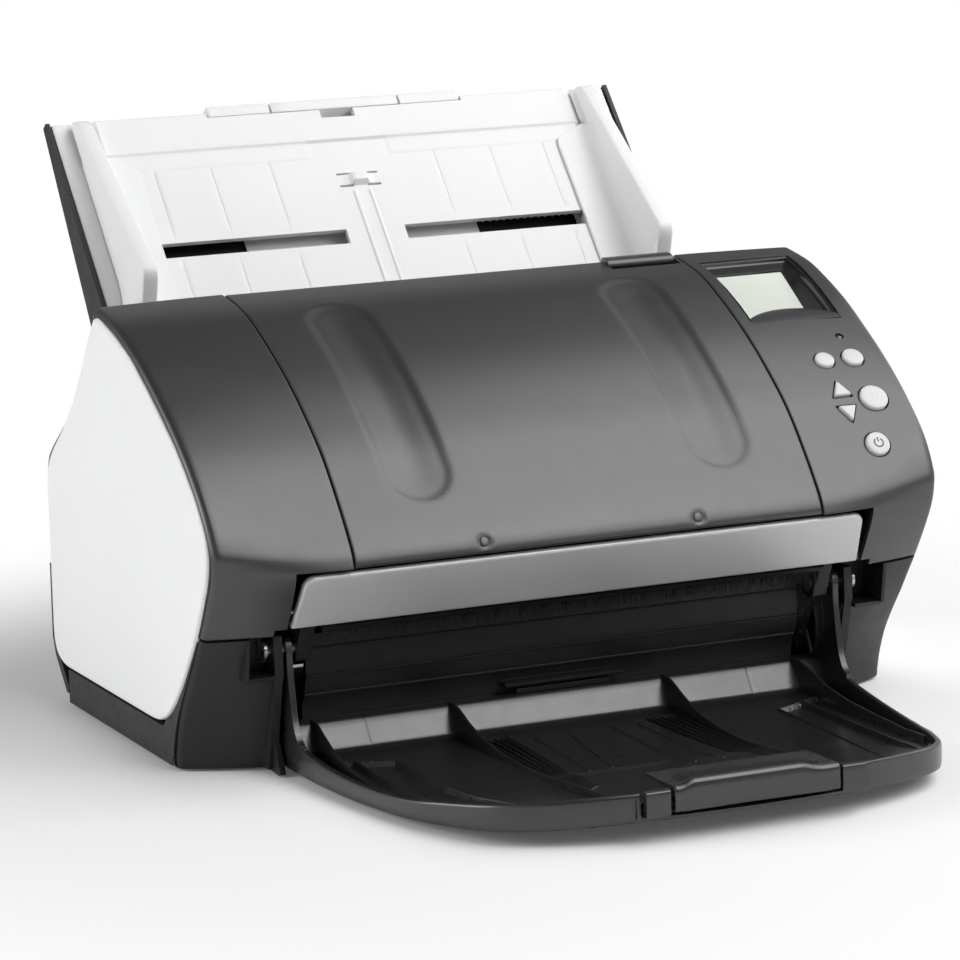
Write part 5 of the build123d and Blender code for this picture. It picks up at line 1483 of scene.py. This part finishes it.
def add_pegs_and_arms(shell):
    """Small round pegs along the front curve, and the upright arms at the rear corners."""
    pegs = ((91.0, -178.5), (80.0, -188.4), (69.0, -196.2), (57.5, -202.2), (50.2, -205.0))
    arm = smooth([(-69.6, 47.0), (-68.0, 51.0), (-64.0, 52.6), (-60.0, 51.0), (-58.4, 47.0),
                  (-59.0, 40.0), (-61.0, 30.0), (-60.4, 22.0), (-57.0, 15.6)], 4)
    arm += [(-57.0, 12.4), (-66.0, 8.0), (-76.0, 6.2), (-80.0, 8.6)]
    arm += smooth([(-80.0, 13.4), (-76.4, 16.0), (-73.4, 22.0), (-71.4, 31.0), (-69.9, 40.0),
                   (-69.6, 47.0)], 4)[:-1]
    flange = smooth([(-58.6, 46.0), (-59.0, 40.0), (-61.0, 30.0), (-60.4, 22.0),
                     (-58.0, 17.6)], 4)
    flange += [(y - 1.3, z) for y, z in flange][::-1]
    for side in (-1, 1):
        for x, y in pegs:
            z = float(floor_height(x, y))
            shell.lathe([(0, z - 1), (0.9, z - 1), (0.8, z + 1.3), (0.45, z + 1.8),
                         (0, z + 1.9)], lambda u, v, h: (side * x + u, y + v, h), 12)
        shell.prism(arm, side * 111.8, side * 114.15)
        shell.prism(flange, side * 108.4, side * 112.0)


def build_output_tray():
    shell = Shell()
    add_rim(shell)
    add_paper_surface(shell)
    add_blades(shell)
    add_underside(shell)
    add_pegs_and_arms(shell)
    make("output_tray_body", shell, "tray_black", "output_tray", "output_tray", sharp=36)


# ------------------------------------------------------------------ tray extensions and cap
def slide_z(y, height):
    """z at a height over the sloping underside of the slides."""
    return 9.4 + height - (y + 217.0) * math.tan(math.radians(4.4))


def add_plate(shell, front, back, low, high, x0, x1):
    """A plate parallel to the slides."""
    shell.prism([(front, slide_z(front, low)), (front, slide_z(front, high)),
                 (back, slide_z(back, high)), (back, slide_z(back, low))], x0, x1)


def build_lower_slide():
    shell = Shell()
    for front, x0, x1 in ((-214.0, -43.1, -33.2), (-214.0, 33.2, 43.1),
                          (-212.2, -33.2, 33.2)):
        add_plate(shell, front, -150, 0, 1.15, x0, x1)
    nose = smooth([(-217.1, slide_z(-217, 0) + 0.3), (-217.2, 12.0), (-217.1, 17.6),
                   (-216.4, 18.6), (-215.2, 18.9), (-214.2, 18.7)], 3)
    nose += [(-214.0, 12.5), (-209.0, slide_z(-209, 1.1)), (-209.0, slide_z(-209, 0))]
    for side in (-1, 1):
        shell.prism(nose, side * 33.5, side * 42.9)
    make("tray_slide_lower", shell, "tray_black", "tray_extension_1", "tray_extension_1",
         sharp=42, bevel=0.3)


def build_upper_slide():
    shell = Shell()
    add_plate(shell, -212.2, -152, 1.5, 2.7, -31.7, 31.7)
    ear = [(-216.5, 11.8), (-216.6, 12.9), (-216.2, 13.9), (-215.0, 14.3), (-213.6, 13.8),
           (-211.5, slide_z(-211.5, 2.65)), (-208.0, slide_z(-208, 2.6)),
           (-208.0, slide_z(-208, 1.6)), (-214.6, slide_z(-214.6, 1.5)), (-215.9, 11.1)]
    for side in (-1, 1):
        shell.prism(ear, side * 29.5, side * 31.7)
    # cross pin between the ears, and nine ridges
    shell.sweep([[(x, -215.4 + y, 12.5 + z) for y, z in circle(1.08, 24)]
                 for x in (-31.0, 31.0)])
    for k in range(9):
        add_plate(shell, -170 - k * 3, -171 - k * 3, 2.6, 3.0, -8, 8)
    make("tray_slide_upper", shell, "tray_black", "tray_extension_2", "tray_extension_2",
         sharp=40)


def build_front_cap():
    """Folded cap at the tray's front centre, its top edge raised in the middle."""
    xs = sorted([-32.2, -32.0, -31.4, -29.4, -27.5, -25.6, -24.4, *np.linspace(-22, 16, 9),
                 16.8, 19.0, 22.0, 25.0, 28.0, 31.4, 32.0, 32.2])
    rings = []
    for x in xs:
        lift = 1.7 * float(smoothstep(-30.0, -24.6, x) * smoothstep(24.5, 17.0, x))
        trim = 0.3 if abs(x) > 32.1 else 0.08 if abs(x) > 31.9 else 0.0
        outline = (
            (-217.7 + trim, 15.0 + trim), (-217.85 + trim, 17.0),
            (-217.75 + trim, 18.4 + lift - trim), (-217.3, 19.3 + lift - trim),
            (-216.2, 19.9 + lift - trim), (-214.6, 20.0 + lift - trim),
            (-213.0, 19.8 + lift * 0.6 - trim), (-208.0, 19.7 - trim), (-200.0, 19.6 - trim),
            (-194.3, 19.5 - trim), (-194.0, 19.2 - trim), (-194.0, 18.2 + trim),
            (-194.4, 18.0 + trim), (-213.2, 18.2), (-213.9, 17.4), (-213.9, 15.0 + trim))
        rings.append([(x, y, z) for y, z in outline])
    shell = Shell()
    shell.sweep(rings)
    shell.prism([(-217.7, 15.1), (-217.75, 13.0), (-217.5, 11.4), (-216.6, 10.35),
                 (-214.2, 10.35), (-213.1, 11.4), (-213.1, 13.8), (-213.9, 15.1)],
                -29.2, 29.2)
    for x0, x1 in ((-32.15, -29.25), (29.25, 32.15)):
        shell.prism([(-217.72, 15.2), (-217.76, 13.0), (-217.55, 11.2), (-217.1, 10.7),
                     (-216.75, 10.9), (-216.75, 15.2)], x0, x1)
    make("front_cap_flap", shell, "tray_black", "paper_stopper", "paper_stopper", sharp=40)


# ------------------------------------------------------------------ studio (in metres)
def finish_cad_pieces():
    """Gives the remaining CAD pieces their own finishes."""
    for piece in frame["record"]["subparts"]:
        node = frame["nodes"].get(piece["node"])
        if node is None or node.type != "MESH":
            continue
        node.data.materials.clear()
        node.data.materials.append(MATERIALS[piece["material_slot"]])


def studio_paper():
    """Near-white paper that glows a little more to the camera away from the product."""
    paper = Surface("studio_paper")
    paper.shade({"Base Color": (0.95, 0.95, 0.95, 1), "Roughness": 0.9,
                 "Specular IOR Level": 0.1})
    tone = paper.ramp(paper.noise(scale=3.0, detail=3.0), (0.905,) * 3, (0.92,) * 3)
    paper.shade({"Base Color": tone})
    position = paper.add("NewGeometry").outputs["Position"]
    distance = paper.add("VectorMath", {0: position}, operation="LENGTH").outputs["Value"]
    glow = paper.map_range(distance, from_min=0.22, from_max=0.42, to_min=0.06,
                           interpolation_type="SMOOTHSTEP")
    camera_ray = paper.add("LightPath").outputs["Is Camera Ray"]
    emission = paper.add("Emission", {1: 1.0})
    mixed = paper.add("MixShader", {0: paper.math("MULTIPLY", glow, camera_ray),
                                    1: paper.principled.outputs[0], 2: emission.outputs[0]})
    paper.set(paper.output, {0: mixed.outputs[0]})
    return paper.material


def build_floor():
    """Paper sweep: flat floor, curved up behind into a wall."""
    half, bend_y, radius = 6.0, 4.2, 1.6
    profile = [(-half, 0.0), (bend_y, 0.0)]
    profile += [(bend_y + radius * math.sin(a), radius - radius * math.cos(a))
                for a in np.linspace(0.15, math.pi / 2, 10)]
    profile.append((5.8, 6.0))
    mesh = bpy.data.meshes.new("floor_sheet")
    verts = [(x, y, z - 0.0002) for y, z in profile for x in (-half, half)]
    faces = [(2 * i, 2 * i + 1, 2 * i + 3, 2 * i + 2) for i in range(len(profile) - 1)]
    mesh.from_pydata(verts, [], faces)
    mesh.polygons.foreach_set("use_smooth", [True] * len(mesh.polygons))
    floor = bpy.data.objects.new("floor_sheet", mesh)
    bpy.context.scene.collection.objects.link(floor)
    mesh.materials.append(studio_paper())


def build_world():
    """Dim in front and behind, bright to both sides, plain white to the camera."""
    world = bpy.data.worlds.new("studio")
    bpy.context.scene.world = world
    world.use_nodes = True
    graph = Graph(world.node_tree)
    coords = graph.add("TexCoord").outputs["Generated"]
    sideways = graph.math("ABSOLUTE", graph.add("SeparateXYZ", {0: coords}).outputs["X"])
    light = graph.map_range(sideways, from_min=0.35, from_max=0.95, to_min=0.10, to_max=0.75)
    camera_ray = graph.add("LightPath").outputs["Is Camera Ray"]
    strength = graph.add("Mix", {0: camera_ray, 2: light, 3: 1.0}, data_type="FLOAT")
    graph.set(world.node_tree.nodes["Background"],
              {0: (1.0, 1.0, 1.0, 1), 1: strength.outputs[0]})


def softbox(name, location, target, size, radiance):
    """A rectangular light; radiance is relative to a white floor at full exposure."""
    light = bpy.data.lights.new(name, "AREA")
    light.shape = "RECTANGLE"
    light.size, light.size_y = size
    light.energy = math.pi * size[0] * size[1] * radiance
    lamp = bpy.data.objects.new(name, light)
    lamp.location = location
    aim = Vector(target) - Vector(location)
    lamp.rotation_euler = aim.to_track_quat("-Z", "Y").to_euler()
    bpy.context.scene.collection.objects.link(lamp)


def build_lights():
    softbox("overhead_softbox", location=(0.55, -0.38, 1.2), target=(0.05, 0.0, 0.08),
            size=(1.2, 0.8), radiance=3.1)
    softbox("front_high_softbox", location=(0.62, -1.12, 1.0), target=(0, 0, 0.08),
            size=(1.1, 0.7), radiance=3.3)
    softbox("left_softbox", location=(-1.5, 0.42, 0.6), target=(-0.15, 0.0, 0.08),
            size=(0.9, 0.8), radiance=4.2)
    softbox("right_softbox", location=(1.45, 0.25, 0.95), target=(0.1, 0.0, 0.1),
            size=(0.8, 0.8), radiance=1.9)


def build_camera():
    """Long lens in front and to the left, looking slightly down."""
    yaw, pitch, tilt = math.radians(24.44), math.radians(10.92), math.radians(-1.29)
    ahead = Vector((math.sin(yaw) * math.cos(pitch), math.cos(yaw) * math.cos(pitch),
                    -math.sin(pitch)))
    level = Vector((math.cos(yaw), -math.sin(yaw), 0))
    upright = level.cross(ahead)
    right = level * math.cos(tilt) + upright * math.sin(tilt)
    up = upright * math.cos(tilt) - level * math.sin(tilt)
    lens = bpy.data.cameras.new("photo_camera")
    lens.sensor_width = 36
    lens.lens = 167.45
    lens.clip_end = 50
    camera = bpy.data.objects.new("photo_camera", lens)
    bpy.context.scene.collection.objects.link(camera)
    turn = Matrix((right, up, -ahead)).transposed()
    place = Matrix.Translation((-0.70173, -1.53544 + Y_SHIFT * MM, 0.41289))
    camera.matrix_world = place @ turn.to_4x4()
    bpy.context.scene.camera = camera
    bpy.context.scene.view_settings.view_transform = "Standard"


for build in (
        build_centre_cover, build_cover_caps, build_side_covers, build_keys,
        build_status_light, build_display_frame, build_display_window, build_display_lip,
        build_side_panels, build_base, build_front_strip, build_exit_brush,
        build_release_tab, build_chute, build_chute_extension_outer,
        build_chute_extension_centre, build_side_guides, build_output_tray,
        build_lower_slide, build_upper_slide, build_front_cap, finish_cad_pieces,
        build_floor, build_world, build_lights, build_camera):
    build()
